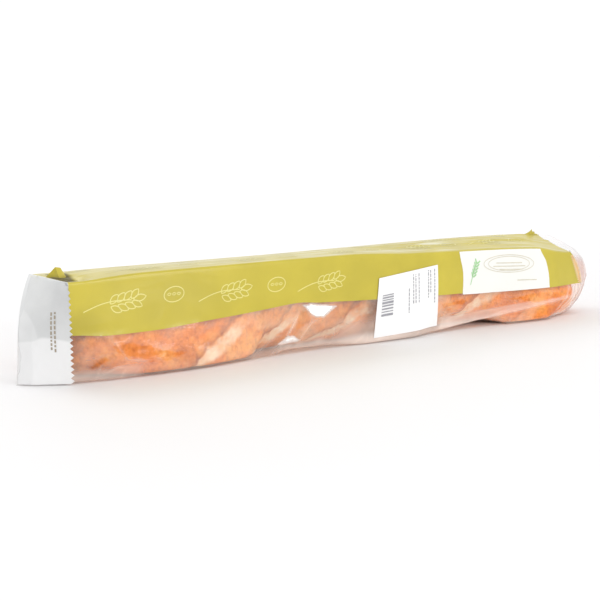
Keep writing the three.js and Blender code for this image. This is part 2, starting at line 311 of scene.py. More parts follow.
# Toasted crust, also used for painted shade
CRUST_TOASTED_AND_SHADE = (0.36, 0.075, 0.012)
CRUST_PALE = (1.0, 0.80, 0.56)
CRUST_SPECK = (0.68, 0.52, 0.40)
SCORE_SHADE = (0.98, 0.58, 0.28)
SCORE_LIGHT = (1.0, 0.88, 0.70)
PLAIN_WHITE = (1.0, 1.0, 1.0)
LABEL_WHITE = (0.93, 0.93, 0.93)
LABEL_INK = (0.30, 0.30, 0.33)
CODE_INK = (0.38, 0.32, 0.24)
FLOOR_COLOUR = (0.895, 0.885, 0.888)

# The floor, in metres: its half size, how far below the pack it lies, and where its painted glow brightens it
FLOOR_HALF = 12.0
FLOOR_LEVEL = -0.0002
FLOOR_GLOW_FROM = 0.35
FLOOR_GLOW_TO = 1.6
FLOOR_GLOW = 0.16

# Lights, in metres and watts: place, target, size and power
SOFTBOX = ((0.30, -1.46, 0.42), (-0.02, 0, 0.03), (0.8, 0.42), 7.0)
KEY = ((-0.35, 1.15, 1.15), (0.05, 0, 0.03), (0.7, 0.7), 4.4)
BACKDROP_TOWARD = (0.52, 0.69, 0.5)
BACKDROP_LEVEL = 1.04
ROOM_LEVEL = 0.64

# The camera, at the photo's viewing angle
CAMERA_AT = (-319.6, -692.5, 166.9)
CAMERA_ELEVATION = 8.19
CAMERA_AZIMUTH = -36.77
CAMERA_LENS = 66.0


# Numbers: curves, noise and masks


def along(knots, s):
    """A smooth curve through knots, at each s, that never swings past them."""
    xs = np.array([k[0] for k in knots], float)
    vs = np.array([k[1] for k in knots], float)
    grade = np.diff(vs) / np.diff(xs)
    slope = np.zeros(len(xs))
    same = grade[:-1] * grade[1:] > 0
    both = np.where(same, grade[:-1] + grade[1:], 1.0)
    slope[1:-1] = np.where(same, 2 * grade[:-1] * grade[1:] / both, 0.0)
    s = np.clip(np.asarray(s, float), xs[0], xs[-1])
    i = np.clip(np.searchsorted(xs, s, side="right") - 1, 0, len(xs) - 2)
    span = xs[i + 1] - xs[i]
    t = (s - xs[i]) / span
    rise = t * t * (3 - 2 * t)
    leaving = t * (1 - t) ** 2
    arriving = t * t * (t - 1)
    return vs[i] + (vs[i + 1] - vs[i]) * rise + span * (slope[i] * leaving + slope[i + 1] * arriving)


def lerp(a, b, t):
    """a at 0, b at 1 and a straight way between."""
    return a + (b - a) * t


def clip01(x):
    """x, kept from 0 to 1."""
    return np.clip(x, 0.0, 1.0)


def smooth(x, low, high):
    """A soft step from 0 at low to 1 at high."""
    t = clip01((x - low) / (high - low))
    return t * t * (3 - 2 * t)


def bump(x, centre, width):
    """A soft bump, 1 high at its centre."""
    return np.exp(-(((x - centre) / width) ** 2))


def noise(x, y, seed):
    """Smooth noise from -1 to 1 with features about one unit across."""
    lattice = np.random.default_rng(seed).uniform(-1, 1, (128, 128))
    x, y = np.broadcast_arrays(np.asarray(x, float), np.asarray(y, float))
    xi = np.floor(x).astype(int)
    yi = np.floor(y).astype(int)
    u = x - xi
    v = y - yi
    u = u * u * (3 - 2 * u)
    v = v * v * (3 - 2 * v)
    a = lattice[xi % 128, yi % 128]
    b = lattice[(xi + 1) % 128, yi % 128]
    c = lattice[xi % 128, (yi + 1) % 128]
    d = lattice[(xi + 1) % 128, (yi + 1) % 128]
    return lerp(lerp(a, b, u), lerp(c, d, u), v)


def clouds(x, y, seed):
    """Noise bent by noise, for patches that follow no grid."""
    bent_x = x + 0.8 * noise(x * 1.1, y * 1.1, seed + 200)
    bent_y = y + 0.8 * noise(y * 1.1, x * 1.1, seed + 300)
    return noise(bent_x, bent_y, seed)


def axes(points):
    """The s, y and z of an array of points."""
    return np.moveaxis(points, -1, 0)


def line_distance(x, y, start, end):
    """How far points are from a line between two points, and how far along it they are."""
    dx, dy = end[0] - start[0], end[1] - start[1]
    length = math.hypot(dx, dy)
    along_line = ((x - start[0]) * dx + (y - start[1]) * dy) / length
    off = ((x - start[0]) * dy - (y - start[1]) * dx) / length
    return off, along_line / length


def path_distance(x, y, path):
    """Distance to a line of several points, signed by side, and the share of the way along it."""
    signed = np.full(np.shape(x), FAR)
    share = np.zeros(np.shape(x))
    pieces = len(path) - 1
    for k in range(pieces):
        off, part = line_distance(x, y, path[k], path[k + 1])
        length = math.dist(path[k], path[k + 1])
        past = np.maximum(0, np.maximum(-part, part - 1)) * length
        distance = np.hypot(off, past)
        closer = distance < np.abs(signed)
        signed = np.where(closer, np.where(off < 0, -distance, distance), signed)
        share = np.where(closer, (k + clip01(part)) / pieces, share)
    return signed, share


def inside_corners(x, y, corners):
    """Distance inside a shape with corners in clockwise order; negative outside."""
    depth = np.full(np.shape(x), FAR)
    for k, corner in enumerate(corners):
        off, _ = line_distance(x, y, corner, corners[(k + 1) % len(corners)])
        depth = np.minimum(depth, off)
    return depth


# The bag's plain form


def hem_inset(height, radius):
    """How far a face is drawn in near the floor by its rounded hem."""
    u = np.clip((radius - height) / radius, 0, 1)
    return radius * (1 - np.sqrt(1 - u * u))


def end_fade(s):
    """The faces bulge less towards both ends, where the bag is folded flat."""
    return clip01(s / END_FADE) * clip01((BODY_LENGTH - s) / END_FADE)


def front_y(s, z):
    """Where the front face is at each s and z."""
    up = clip01(z / along(CREASE_HEIGHT, s))
    bulge = FRONT_BULGE * np.sin(np.pi * up) * end_fade(s)
    return along(HEM_LINE, s) * (1 - up) ** 2 - bulge + hem_inset(z, FRONT_HEM_RADIUS)


def back_y(s, z):
    """The same for the back face."""
    up = clip01(z / along(BACK_HEIGHT, s))
    bulge = BACK_BULGE * np.sin(np.pi * up) * end_fade(s)
    return DEPTH - 2 * (1 - up) + bulge - hem_inset(z, BACK_HEM_RADIUS)


def top_z(s, y):
    """How high the top is, with its pocket at the left."""
    across = clip01(y / DEPTH)
    level = lerp(along(CREASE_HEIGHT, s), along(BACK_HEIGHT, s), across)
    dip = bump(s, POCKET["s"], POCKET["length"]) * bump(y, POCKET["y"], POCKET["width"])
    return level + TOP_DOME * np.sin(np.pi * across) * end_fade(s) - POCKET["depth"] * dip


def right_end(y, z):
    """The body's right end: slanted in front, upright at the back."""
    off = z - RIGHT_SLANT["z"]
    above = RIGHT_SLANT["above"] * (off / RIGHT_SLANT["high_span"]) ** 2
    below = RIGHT_SLANT["below"] * (off / RIGHT_SLANT["z"]) ** 2
    slant = np.where(off > 0, above, below)
    return BODY_LENGTH - (RIGHT_SLANT["least"] + slant) * (1 - clip01(y / DEPTH))


def left_fold(z):
    """The line along which the left fin folds back on itself, at height z."""
    fold = LEFT_FOLD
    up = clip01(z / fold["height"])
    s = -fold["least"] - (fold["reach"] - fold["least"]) * (1 - up**2.6) - fold["flare"] * (1 - up) ** 3
    return s, fold["y"] + fold["lean"] * up**1.7, np.minimum(z, fold["height"])


def right_fold(z):
    """The same for the right fin."""
    fold = RIGHT_FOLD
    low = clip01(1 - z / fold["widest"])
    high = clip01((z - fold["widest"]) / fold["high_span"])
    reach = fold["reach"] - fold["low_tuck"] * low**1.3 - fold["high_tuck"] * high**2
    return BODY_LENGTH + reach, fold["y"] + fold["lean"] * high**3, np.minimum(z, fold["height"])


def shares(count):
    """Even steps from 0, ending one step short of 1, as a row."""
    return (np.arange(count) / count)[None, :]


def sections(s):
    """The bag's section at each s, as arrays of y and z with one row per s."""
    s = s[:, None]
    crease = along(CREASE_HEIGHT, s)
    back = along(BACK_HEIGHT, s)
    edge = along(PRINT_EDGE, s)
    lift = along(HEM_LIFT, s)
    ys, zs = [], []

    def add(y, z):
        y, z = np.broadcast_arrays(y, z)
        ys.append(y)
        zs.append(z)

    front_rows = (edge * shares(LOWER_ROWS) ** 1.15, lerp(edge, crease - CREASE_RADIUS, shares(UPPER_ROWS)))
    for z in front_rows:
        add(front_y(s, z), z + lift * (1 - z / ROW_TOP_HEIGHT) ** 2)
    angle = shares(ARC_ROWS) * np.pi / 2
    add(CREASE_RADIUS * (1 - np.cos(angle)), crease - CREASE_RADIUS * (1 - np.sin(angle)))
    across = lerp(CREASE_RADIUS, DEPTH - BACK_RADIUS, shares(TOP_ROWS))
    add(across, top_z(s, across))
    add(DEPTH - BACK_RADIUS * (1 - np.sin(angle)), back - BACK_RADIUS * (1 - np.cos(angle)))
    upper = lerp(back - BACK_RADIUS, BACK_PRINT_EDGE, shares(BACK_UPPER_ROWS))
    for z in (upper, BACK_PRINT_EDGE * (1 - shares(BACK_LOWER_ROWS)) ** 1.15):
        add(back_y(s, z), z)
    under = shares(BOTTOM_ROWS)
    add(lerp(back_y(s, 0 * s), front_y(s, 0 * s), under), lift * under * under)
    return np.hstack(ys), np.hstack(zs)


def bag_grid():
    """Points of the bag's plain form, as rings by rows by 3."""
    count = int(round(BODY_LENGTH / STATION_STEP))
    stations = np.linspace(0, BODY_LENGTH, count + 1)
    y, z = sections(stations)
    near = clip01(1 - (BODY_LENGTH - stations) / RIGHT_STRETCH)[:, None]
    s = stations[:, None] + (right_end(y, z) - BODY_LENGTH) * near
    body = np.stack([s, y, z], axis=2)

    share = np.arange(1, CAP_RINGS + 1) / CAP_RINGS
    t = share[::-1, None]
    fold_s, fold_y, fold_z = (f[None, :] for f in left_fold(z[0]))
    flat = 1 - clip01(z[0] / LEFT_FOLD["height"])[None, :] ** 4
    puff = FIN_CREASE_PUFF / 2 * np.sin(np.pi * t) * flat
    left = np.stack([fold_s * t - puff, lerp(y[0], fold_y, t), lerp(z[0], fold_z, t)], axis=2)

    t = share[:, None]
    fold_s, fold_y, fold_z = (f[None, :] for f in right_fold(z[-1]))
    rounded = np.sin(np.pi / 2 * t)
    right = np.stack([lerp(s[-1], fold_s, rounded), lerp(y[-1], fold_y, t), lerp(z[-1], fold_z, t)], axis=2)
    return np.concatenate([left, body, right])


def normals_of(grid):
    """Outward normals of a grid of rings that close on themselves."""
    along_s = np.gradient(grid, axis=0)
    round_it = np.roll(grid, -1, axis=1) - np.roll(grid, 1, axis=1)
    n = np.cross(along_s, round_it)
    length = np.linalg.norm(n, axis=2, keepdims=True)
    return n / np.maximum(length, 1e-9)


# Folds and wrinkles of the film


def small_folds(seed, count, area, length, slant, spread, height):
    """Short straight folds scattered over an area, as (path, height, width, white)."""
    rng = np.random.default_rng(seed)
    folds = []
    for _ in range(count):
        s = rng.uniform(area[0], area[1])
        w = rng.uniform(area[2], area[3])
        half = rng.uniform(*length) / 2
        angle = math.radians(rng.normal(slant, spread))
        ds, dw = half * math.cos(angle), half * math.sin(angle)
        bend = rng.normal(0, 0.08) * half
        path = ((s - ds, w - dw), (s - bend * 0.3, w + bend), (s + ds, w + dw))
        folds.append((path, rng.uniform(0.4, 1.0) * height, rng.uniform(0.7, 1.6), rng.uniform(0.03, 0.17)))
    return folds


SMALL_WINDOW_FOLDS = small_folds(3, 95, (2, 546, 1, 34), (7, 30), 28, 34, 0.5)
PRINT_FOLDS = small_folds(8, 34, (8, 540, 36, 72), (20, 70), 4, 26, 0.15)
TOP_FOLDS = small_folds(15, 60, (10, 540, 4, 60), (40, 150), 0, 5, 0.55)
TOP_FOLDS += small_folds(16, 40, (290, 545, 3, 50), (60, 170), -2, 4, 0.8)
BACK_FOLDS = small_folds(23, 70, (5, 545, 2, 72), (15, 60), -20, 35, 0.7)


def fold_ends(share):
    """Fades a fold out at both its ends."""
    return np.sin(np.pi * np.clip(share, 0.02, 0.98)) ** 0.6


def fold_height(x, y, folds):
    """Standing height of folds: a crisp crest with one steep and one gentle side."""
    total = np.zeros(np.shape(x))
    for path, height, width, _ in folds:
        off, share = path_distance(x, y, path)
        side = np.where(off > 0, width, width * 2.4)
        total = total + height * np.exp(-np.abs(off) / side) * fold_ends(share)
    return total


def fold_white(x, y, folds):
    """How much the folds whiten the film along their crests."""
    white = np.zeros(np.shape(x))
    for path, _, width, most in folds:
        off, share = path_distance(x, y, path)
        white = np.maximum(white, most * np.exp(-np.abs(off) / (0.75 * width)) * fold_ends(share))
    return white


def glint_depth(s, z, corners):
    """How far inside a bright facet points are, with a ragged edge."""
    return inside_corners(s, z, corners) + 0.35 * noise(s / 2.5, z / 2.5, 77)


def front_folds(s, z):
    """How far the front film stands off its plain form, outwards, in mm."""
    edge = along(PRINT_EDGE, s)
    low = 1 - smooth(z, edge - 3, edge + 4)
    taut = 0.25 * noise(s / 46, z / 26, 1) + 0.08 * noise(s / 17, z / 13, 2)
    taut = taut + fold_height(s, z, PRINT_FOLDS)
    loose = 0.7 * noise((s + z) / 30, (z - 0.2 * s) / 14, 4) + 0.25 * noise((s + z) / 9, (z - 0.3 * s) / 6, 7)
    loose = loose + fold_height(s, z, WINDOW_FOLDS) + fold_height(s, z, SMALL_WINDOW_FOLDS)
    loose = loose + 0.8 * edge_crests(s, z)
    off, part = path_distance(s, z, LONG_FOLD)
    under = smooth(off, 0.5, 8) * smooth(part, 0.0, 0.12) * (1 - smooth(part, 0.85, 1.0))
    raised = taut * (1 - low) + loose * low - 1.4 * under * low
    for corners in GLINTS:
        centre = np.mean(corners, axis=0)
        tilt = (s - centre[0]) * GLINT_LEAN - (z - centre[1]) * GLINT_TILT
        raised = lerp(raised, tilt, smooth(glint_depth(s, z, corners), -0.8, 0.5))
    return raised


def label_mask(s, z):
    """1 behind the label, where the film lies flat, and 0 well away from it."""
    flat = {key: smooth(at, *LABEL_FLAT[key]) for key, at in (("left", s), ("right", s), ("top", z))}
    return flat["left"] * (1 - flat["right"]) * (1 - flat["top"])


def top_folds(s, y):
    """The same for the top: long soft wrinkles, stronger towards the right."""
    more = 0.5 + 0.6 * smooth(s, 280, 400)
    waves = 0.6 * noise(s / 110, y / 12, 11) + 0.3 * noise(s / 46, y / 7, 12)
    return more * waves + fold_height(s, y, TOP_FOLDS)


def back_folds(s, z):
    """The same for the back."""
    return 0.5 * noise(s / 48, z / 20, 21) + 0.3 * noise(s / 17, z / 12, 22) + fold_height(s, z, BACK_FOLDS)


def end_share(s, y, z):
    """0 where the right end starts to fold over and 1 at its outer fold."""
    start = right_end(y, z)
    return clip01((s - start) / np.maximum(right_fold(z)[0] - start, 1.0))


def crests(across, places, width):
    """Narrow crests at the given places, each with its own strength."""
    crest = np.zeros(np.shape(across))
    for at, strength in places:
        crest = np.maximum(crest, strength * np.exp(-np.abs(across - at) / width))
    return crest


def end_crests(share, z):
    """Long folds that run round the right end beside its outline, from 0 to 1."""
    wander = 0.05 * noise(z / 22, share * 2, 31)
    return crests(share - wander, END_CRESTS, END_CREST_WIDTH) * (1 - 0.8 * smooth(z, 40, 62))


def edge_crests(s, z):
    """The same folds where they start, on the window just short of the right end."""
    short = right_end(0.0, z) - s + 0.9 * noise(z / 8, 0, 34)
    return crests(short, EDGE_CRESTS, EDGE_CREST_WIDTH) * smooth(z, 1, 4) * (1 - smooth(z, 26, 34))


def folded(grid):
    """The bag's points with its folds."""
    normal = normals_of(grid)
    s, y, z = axes(grid)
    facing_front = smooth(-normal[..., 1], 0.55, 0.85)
    facing_top = smooth(normal[..., 2], 0.65, 0.9)
    facing_back = smooth(normal[..., 1], 0.65, 0.9)
    share = end_share(s, y, z)
    body = smooth(s, -2, 8) * (1 - smooth(share, 0.0, 0.12))
    cap = smooth(share, 0.02, 0.2) * (1 - smooth(share, 0.9, 1.0))
    settle = smooth(z, 0.6, 5.0)
    near_crease = smooth(np.abs(z - along(CREASE_HEIGHT, s)), 0.5, 4) * 0.8 + 0.2
    flat = label_mask(s, z)
    front = front_folds(s, z) * settle * (1 - flat) - 0.15 * flat
    raised = facing_front * front * body * near_crease
    raised = raised + facing_top * top_folds(s, y) * body * near_crease * smooth(DEPTH - y, 3, 26)
    raised = raised + facing_back * back_folds(s, z) * body * settle
    rolled = 1.6 * end_crests(share, z) + 0.3 * noise(s / 16, z / 20, 33) - 0.5
    raised = raised + cap * rolled * smooth(z, 1, 16)
    return grid + normal * raised[..., None]


# Meshes


def place(points):
    """Pack millimetres to the part's frame in metres."""
    return (np.asarray(points, float) - ORIGIN) * MM


def add_object(name, data):
    """A new object in the scene."""
    thing = bpy.data.objects.new(name, data)
    bpy.context.scene.collection.objects.link(thing)
    return thing


def mesh_piece(name, points, faces, material, replaces=None):
    """A smooth mesh that rides on the part's body."""
    mesh = bpy.data.meshes.new(name)
    mesh.from_pydata(place(points).reshape(-1, 3).tolist(), [], faces)
    mesh.validate()
    mesh.update()
    mesh.polygons.foreach_set("use_smooth", [True] * len(mesh.polygons))
    piece = add_object(name, mesh)
    mesh.materials.append(material)
    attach(piece, "root")
    if replaces:
        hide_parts(replaces)
    return piece


def grid_faces(rings, rows, wrap=False, flip=False):
    """Quads over a grid of points stored ring by ring."""
    r = np.arange(rings - 1)[:, None]
    c = np.arange(rows if wrap else rows - 1)[None, :]
    nxt = (c + 1) % rows
    quad = np.stack([r * rows + c, r * rows + nxt, (r + 1) * rows + nxt, (r + 1) * rows + c], axis=2)
    quad = quad.reshape(-1, 4)
    if flip:
        quad = quad[:, ::-1]
    return quad.tolist()


def paint(piece, name, values):
    """A number at every vertex, which a material can read by name."""
    layer = piece.data.attributes.new(name, "FLOAT", "POINT")
    layer.data.foreach_set("value", np.asarray(values, np.float32).ravel())


# Materials


def new_material(name):
    """A material with its nodes and its shader."""
    material = bpy.data.materials.new(name)
    material.use_nodes = True
    tree = material.node_tree
    return material, tree, tree.nodes["Principled BSDF"]


def feed(tree, node, inputs):
    """Links or sets a node's inputs, by name or number."""
    for key, value in inputs.items():
        socket = node.inputs[key]
        if hasattr(value, "links"):
            tree.links.new(value, socket)
        elif socket.type == "RGBA":
            socket.default_value = (*value, 1.0)
        else:
            socket.default_value = value


def add_node(tree, kind, inputs, **settings):
    """A new node of a kind, with its settings and inputs."""
    node = tree.nodes.new("ShaderNode" + kind)
    for key, value in settings.items():
        setattr(node, key, value)
    feed(tree, node, inputs)
    return node


def noise_out(tree, scale, detail=4.0, rough=0.55):
    """Noise over the object's own coordinates."""
    coord = add_node(tree, "TexCoord", {}).outputs["Object"]
    inputs = {"Scale": scale, "Detail": detail, "Roughness": rough, "Vector": coord}
    return add_node(tree, "TexNoise", inputs).outputs["Fac"]


def ramp(tree, source, stops):
    """A colour ramp; stops are (place, colour)."""
    node = add_node(tree, "ValToRGB", {"Fac": source})
    elements = node.color_ramp.elements
    while len(elements) < len(stops):
        elements.new(0.5)
    for element, (at, colour) in zip(elements, stops):
        element.position = at
        element.color = (*colour, 1.0)
    return node.outputs["Color"]


def mix_colour(tree, factor, a, b, blend="MIX"):
    """One colour mixed over another; in the node, 0, 6 and 7 are the factor and the colours."""
    inputs = {0: factor, 6: a, 7: b}
    node = add_node(tree, "Mix", inputs, data_type="RGBA", blend_type=blend)
    return node.outputs[2]


def math_out(tree, operation, *values):
    """The result of a sum done on values or on other nodes' outputs."""
    return add_node(tree, "Math", dict(enumerate(values)), operation=operation).outputs[0]


def attribute(tree, name):
    """A number that was painted on the mesh."""
    return add_node(tree, "Attribute", {}, attribute_name=name).outputs["Fac"]


def bump_out(tree, height, strength, distance):
    """A normal bent by fine relief."""
    inputs = {"Strength": strength, "Distance": distance, "Height": height}
    return add_node(tree, "Bump", inputs).outputs["Normal"]


def film_print(name, colour, spread=0.06, rough=0.30, coat=0.12, painted_shade=None):
    """Ink on the inside of a glossy film, a little uneven, with painted shade and painted glare mixed in
    where painted so.
    """
    material, tree, shader = new_material(name)
    low = tuple(c * (1 - spread) for c in colour)
    high = tuple(min(1.0, c * (1 + spread)) for c in colour)
    tint = ramp(tree, noise_out(tree, 22.0), ((0.35, low), (0.65, high)))
    if painted_shade:
        # Painted shade, then painted glare, mixed over the ink
        tint = mix_colour(tree, attribute(tree, "painted_shade"), tint, painted_shade)
        tint = mix_colour(tree, attribute(tree, "painted_glare"), tint, PAINTED_GLARE)
        rough = math_out(tree, "MULTIPLY_ADD", attribute(tree, "painted_shade"), 0.65, rough)
    feed(tree, shader, {
        "Base Color": tint,
        "Roughness": rough,
        "Specular IOR Level": 0.3,
        "Coat Weight": coat,
        "Coat Roughness": 0.12,
        "Normal": bump_out(tree, noise_out(tree, 420.0, 3.0), 0.10, 0.0004),
    })
    return material


def film_look(name, haze_colour, rough=0.11, ior=1.28):
    """Thin clear film: see-through, milky by its haze, with its own gloss over both."""
    material, tree, shader = new_material(name)
    tree.nodes.remove(shader)
    normal = bump_out(tree, noise_out(tree, 170.0, 3.0), 0.10, 0.0006)
    clear = add_node(tree, "BsdfTransparent", {})
    milky = add_node(tree, "BsdfDiffuse", {"Color": haze_colour, "Normal": normal})
    gloss = add_node(tree, "BsdfGlossy", {"Roughness": rough, "Normal": normal})
    body = add_node(tree, "MixShader", {
        "Fac": attribute(tree, "haze_and_highlight"), 1: clear.outputs[0], 2: milky.outputs[0],
    })
    fresnel = add_node(tree, "Fresnel", {"IOR": ior, "Normal": normal}).outputs[0]
    mirror = math_out(tree, "MAXIMUM", math_out(tree, "MINIMUM", fresnel, 0.3), attribute(tree, "mirror"))
    whole = add_node(tree, "MixShader", {"Fac": mirror, 1: body.outputs[0], 2: gloss.outputs[0]})
    feed(tree, tree.nodes["Material Output"], {"Surface": whole.outputs[0]})
    return material


def crust():
    """Baked crust: mottled orange brown, toasted on its edges and pale in its scores, with painted shade
    below the print's edge and a broad patch of painted light.
    """
    material, tree, shader = new_material("crust")
    cloud = noise_out(tree, 34.0, 8.0, 0.68)
    base = ramp(tree, cloud, ((0.34, CRUST_DARK), (0.50, CRUST), (0.64, CRUST_LIGHT)))
    speckle = ramp(tree, noise_out(tree, 260.0, 6.0, 0.75), ((0.36, CRUST_SPECK), (0.54, PLAIN_WHITE)))
    body = mix_colour(tree, 0.8, base, speckle, "MULTIPLY")
    # Toasting, and painted shade below the print's edge
    toasted_and_shaded = mix_colour(tree, attribute(tree, "toast_and_shade"), body, CRUST_TOASTED_AND_SHADE)
    stops = ((0.30, SCORE_SHADE), (0.46, CRUST_PALE), (0.70, SCORE_LIGHT))
    pale = ramp(tree, noise_out(tree, 75.0, 7.0, 0.68), stops)
    feed(tree, shader, {
        # Pale scores, and the broad patch of painted light
        "Base Color": mix_colour(tree, attribute(tree, "score_and_painted_light"), toasted_and_shaded, pale),
        "Roughness": 0.6,
        "Specular IOR Level": 0.2,
        "Normal": bump_out(tree, noise_out(tree, 400.0, 8.0, 0.7), 0.5, 0.0011),
    })
    return material


def paper():
    """Smooth satin paper with a faint grain."""
    material, tree, shader = new_material("label_paper")
    fibre = noise_out(tree, 900.0, 4.0)
    low = tuple(c * 0.97 for c in LABEL_WHITE)
    feed(tree, shader, {
        "Base Color": ramp(tree, fibre, ((0.3, low), (0.7, LABEL_WHITE))),
        "Roughness": 0.42,
        "Normal": bump_out(tree, fibre, 0.08, 0.0003),
    })
    return material


def ink(name, colour):
    """Printed strokes, slightly patchy."""
    material, tree, shader = new_material(name)
    light = tuple(min(1.0, c * 1.12 + 0.02) for c in colour)
    tint = ramp(tree, noise_out(tree, 260.0, 3.0), ((0.35, colour), (0.7, light)))
    feed(tree, shader, {"Base Color": tint, "Roughness": 0.4})
    return material


def white_fold(name):
    """The fin's folded white film: greyer above by painted shade on its white print, and whiter below where
    it is milky, by its tone.
    """
    material, tree, shader = new_material(name)
    grey = ramp(tree, noise_out(tree, 30.0), ((0.35, FLAP_SHADED_DARK), (0.65, FLAP_SHADED_GREY)))
    feed(tree, shader, {
        "Base Color": mix_colour(tree, attribute(tree, "tone_and_painted_light"), grey, FLAP_WHITE),
        "Roughness": 0.33,
        "Coat Weight": 0.2,
        "Coat Roughness": 0.15,
        "Normal": bump_out(tree, noise_out(tree, 300.0, 3.0), 0.12, 0.0005),
    })
    return material


GREEN = film_print("print_green", PRINT_GREEN, painted_shade=PRINT_PAINTED_SHADE)
WHITE = film_print("print_white", BACK_WHITE, 0.03, 0.33, 0.25)
CLEAR = film_look("clear_film", FILM_HAZE_WITH_LOAF_LIGHT)
MILKY = film_look("milky_film", FLAP_WHITE, 0.16)
END_FILM = film_look("end_film", END_HAZE, 0.16, 1.10)
BASE_FILM = film_look("base_film", FILM_HAZE_WITH_LOAF_LIGHT, 0.25, 1.08)
FOLD_WHITE = white_fold("fold_white")
CRUST_LOOK = crust()
PAPER = paper()
LINE = film_print("print_line", PRINT_LINE, 0.02)
PANEL = film_print("print_panel", PANEL_WHITE, 0.015, 0.3, 0.25)
GREY_INK = ink("panel_grey", PANEL_GREY)
GREEN_INK = ink("panel_green", PANEL_GREEN)
TEETH = film_print("end_band", TEETH_CREAM, 0.12, 0.35, 0.1)
WARM_LINE = film_print("end_teeth", TEETH_WARM, 0.08, 0.35, 0.1)
LABEL_INK_LOOK = ink("label_ink", LABEL_INK)
CODE_INK_LOOK = ink("code_ink", CODE_INK)


# The loaf


def film_field(grid, rows, inner):
    """How far back the film lies, in 1 mm cells of s and z; inner picks what is nearer the loaf."""
    skin = grid[:, rows]
    field = np.full(FIELD_SIZE, -inner(-FAR, FAR))
    for u in (0, 1 / 3, 2 / 3):
        for v in (0, 1 / 3, 2 / 3):
            near = lerp(skin[:-1, :-1], skin[1:, :-1], u)
            far = lerp(skin[:-1, 1:], skin[1:, 1:], u)
            p = lerp(near, far, v).reshape(-1, 3)
            i = np.clip(np.round(p[:, 0] - FIELD_START).astype(int), 0, FIELD_SIZE[0] - 1)
            j = np.clip(np.round(p[:, 2] - FIELD_BASE).astype(int), 0, FIELD_SIZE[1] - 1)
            inner.at(field, (i, j), p[:, 1])
    for turn in range(FIELD_GROWTH):
        spread = field
        for shift in ((1, 0), (-1, 0), (0, 1), (0, -1)):
            spread = inner(spread, np.roll(field, shift, axis=(0, 1)))
        field = spread if turn == 0 else np.where(np.abs(field) > FAR / 10, spread, field)
    return field


def read_field(field, s, z):
    """The film's place at each s and z, between the map's cells."""
    x = np.clip(s - FIELD_START, 0, FIELD_SIZE[0] - 1.001)
    w = np.clip(z - FIELD_BASE, 0, FIELD_SIZE[1] - 1.001)
    i = np.floor(x).astype(int)
    j = np.floor(w).astype(int)
    low = lerp(field[i, j], field[i + 1, j], x - i)
    high = lerp(field[i, j + 1], field[i + 1, j + 1], x - i)
    return lerp(low, high, w - j)


def loaf_scores(s, angle):
    """The slashes round the loaf: how pale, how raised and how toasted each point is."""
    score_and_painted_light, relief, toast_and_shade = np.zeros((3, *s.shape))
    for number, (start, pale) in enumerate(SCORES):
        wander = 3.4 * noise(s / 22, angle / 40, 100 + number) + 2.0 * noise(s / 6, angle / 11, 120 + number)
        wander = wander + 1.2 * noise(s / 2.3, angle / 4.2, 140 + number)
        low, high = (CRUST_PER_DEGREE * turn for turn in SCORE_ANGLES)
        around = angle * CRUST_PER_DEGREE + wander
        off, part = line_distance(s, around, (start, low), (start + SCORE_LENGTH, high))
        lens = np.sqrt(clip01(1 - (2 * part - 1) ** 2)) * smooth(part, -0.02, 0.08)
        width = SCORE_HALF_WIDTH * lens + 0.01
        cut = smooth(1 - np.abs(off) / width, 0, 0.65) * (lens > 0.05)
        lip = np.exp(-(((off + width) / 1.8) ** 2)) * lens
        score_and_painted_light = np.maximum(score_and_painted_light, pale * cut * (1 - 0.65 * smooth(angle, 68, 92)))
        relief = relief + (1.3 * lip - 1.2 * cut) * (0.4 + 0.6 * pale)
        toast_and_shade = np.maximum(toast_and_shade, pale * lip)
    return score_and_painted_light, relief, toast_and_shade


def loaf_points(grid, s, angle, relief):
    """The loaf's skin: pressed boxy against the film where it bulges, rounded elsewhere."""
    left = clip01((s - LOAF_START) / LOAF_LEFT_TAPER)
    right = clip01((LOAF_END - s) / LOAF_RIGHT_TAPER)
    size = np.sqrt(np.maximum(0, 1 - (1 - left) ** 2.4)) * np.sqrt(np.maximum(0, 1 - (1 - right) ** 2.3))
    pillow = 0.9 * clouds(s / 40, angle / 60, 41) + 0.5 * clouds(s / 16, angle / 24, 42)
    blister = 0.20 * noise(s / 3.4, angle / 6.5, 43) + 0.12 * noise(s / 1.7, angle / 3.5, 44)
    grow = (relief + pillow + blister) * size
    front = along(LOAF_FRONT, s)
    bulging = smooth(-front, -2, 6)
    radians = np.radians(angle)
    out_y, out_z = -np.sin(radians), -np.cos(radians)
    corner = np.where(out_z < 0, lerp(LOAF_ROUND, LOAF_BOXY, bulging), LOAF_ROUND)
    reach = (np.abs(out_y) ** corner + np.abs(out_z) ** corner) ** (-1 / corner)
    depth = (LOAF_BACK - front) / 2 * size
    top = np.minimum(LOAF_TOP, along(CREASE_HEIGHT, s) - LOAF_HEADROOM)
    height = (top - LOAF_BOTTOM) / 2 * size
    y = (LOAF_BACK + front) / 2 + out_y * (depth * reach + grow)
    middle = lerp(0.55 + 0.45 * size, 0.92 + 0.08 * size, smooth(s, 470, 530))
    z = LOAF_BOTTOM + (top - LOAF_BOTTOM) / 2 * middle + out_z * (height * reach + grow)
    base = along(HEM_LIFT, s) * clip01(1 - y / DEPTH) ** 2
    z = np.maximum(z, base + 0.8 + 0.2 * noise(s / 6, angle / 10, 45))
    film = read_field(film_field(grid, slice(0, ROW_CREASE + 1), np.maximum), s, z) + LOAF_GAP
    back = read_field(film_field(grid, slice(ROW_BACK_UPPER, ROW_BACK_HEM + 1), np.minimum), s, z) - LOAF_GAP
    pressed = bulging * size * smooth(-out_y, 0.3, 0.62) * smooth(-out_z, -0.1, 0.2)
    y = lerp(y, np.minimum(y, film), pressed)
    y = np.where(out_y < 0, np.maximum(y, film), np.minimum(y, back))
    return np.stack([s, y, z], axis=2)


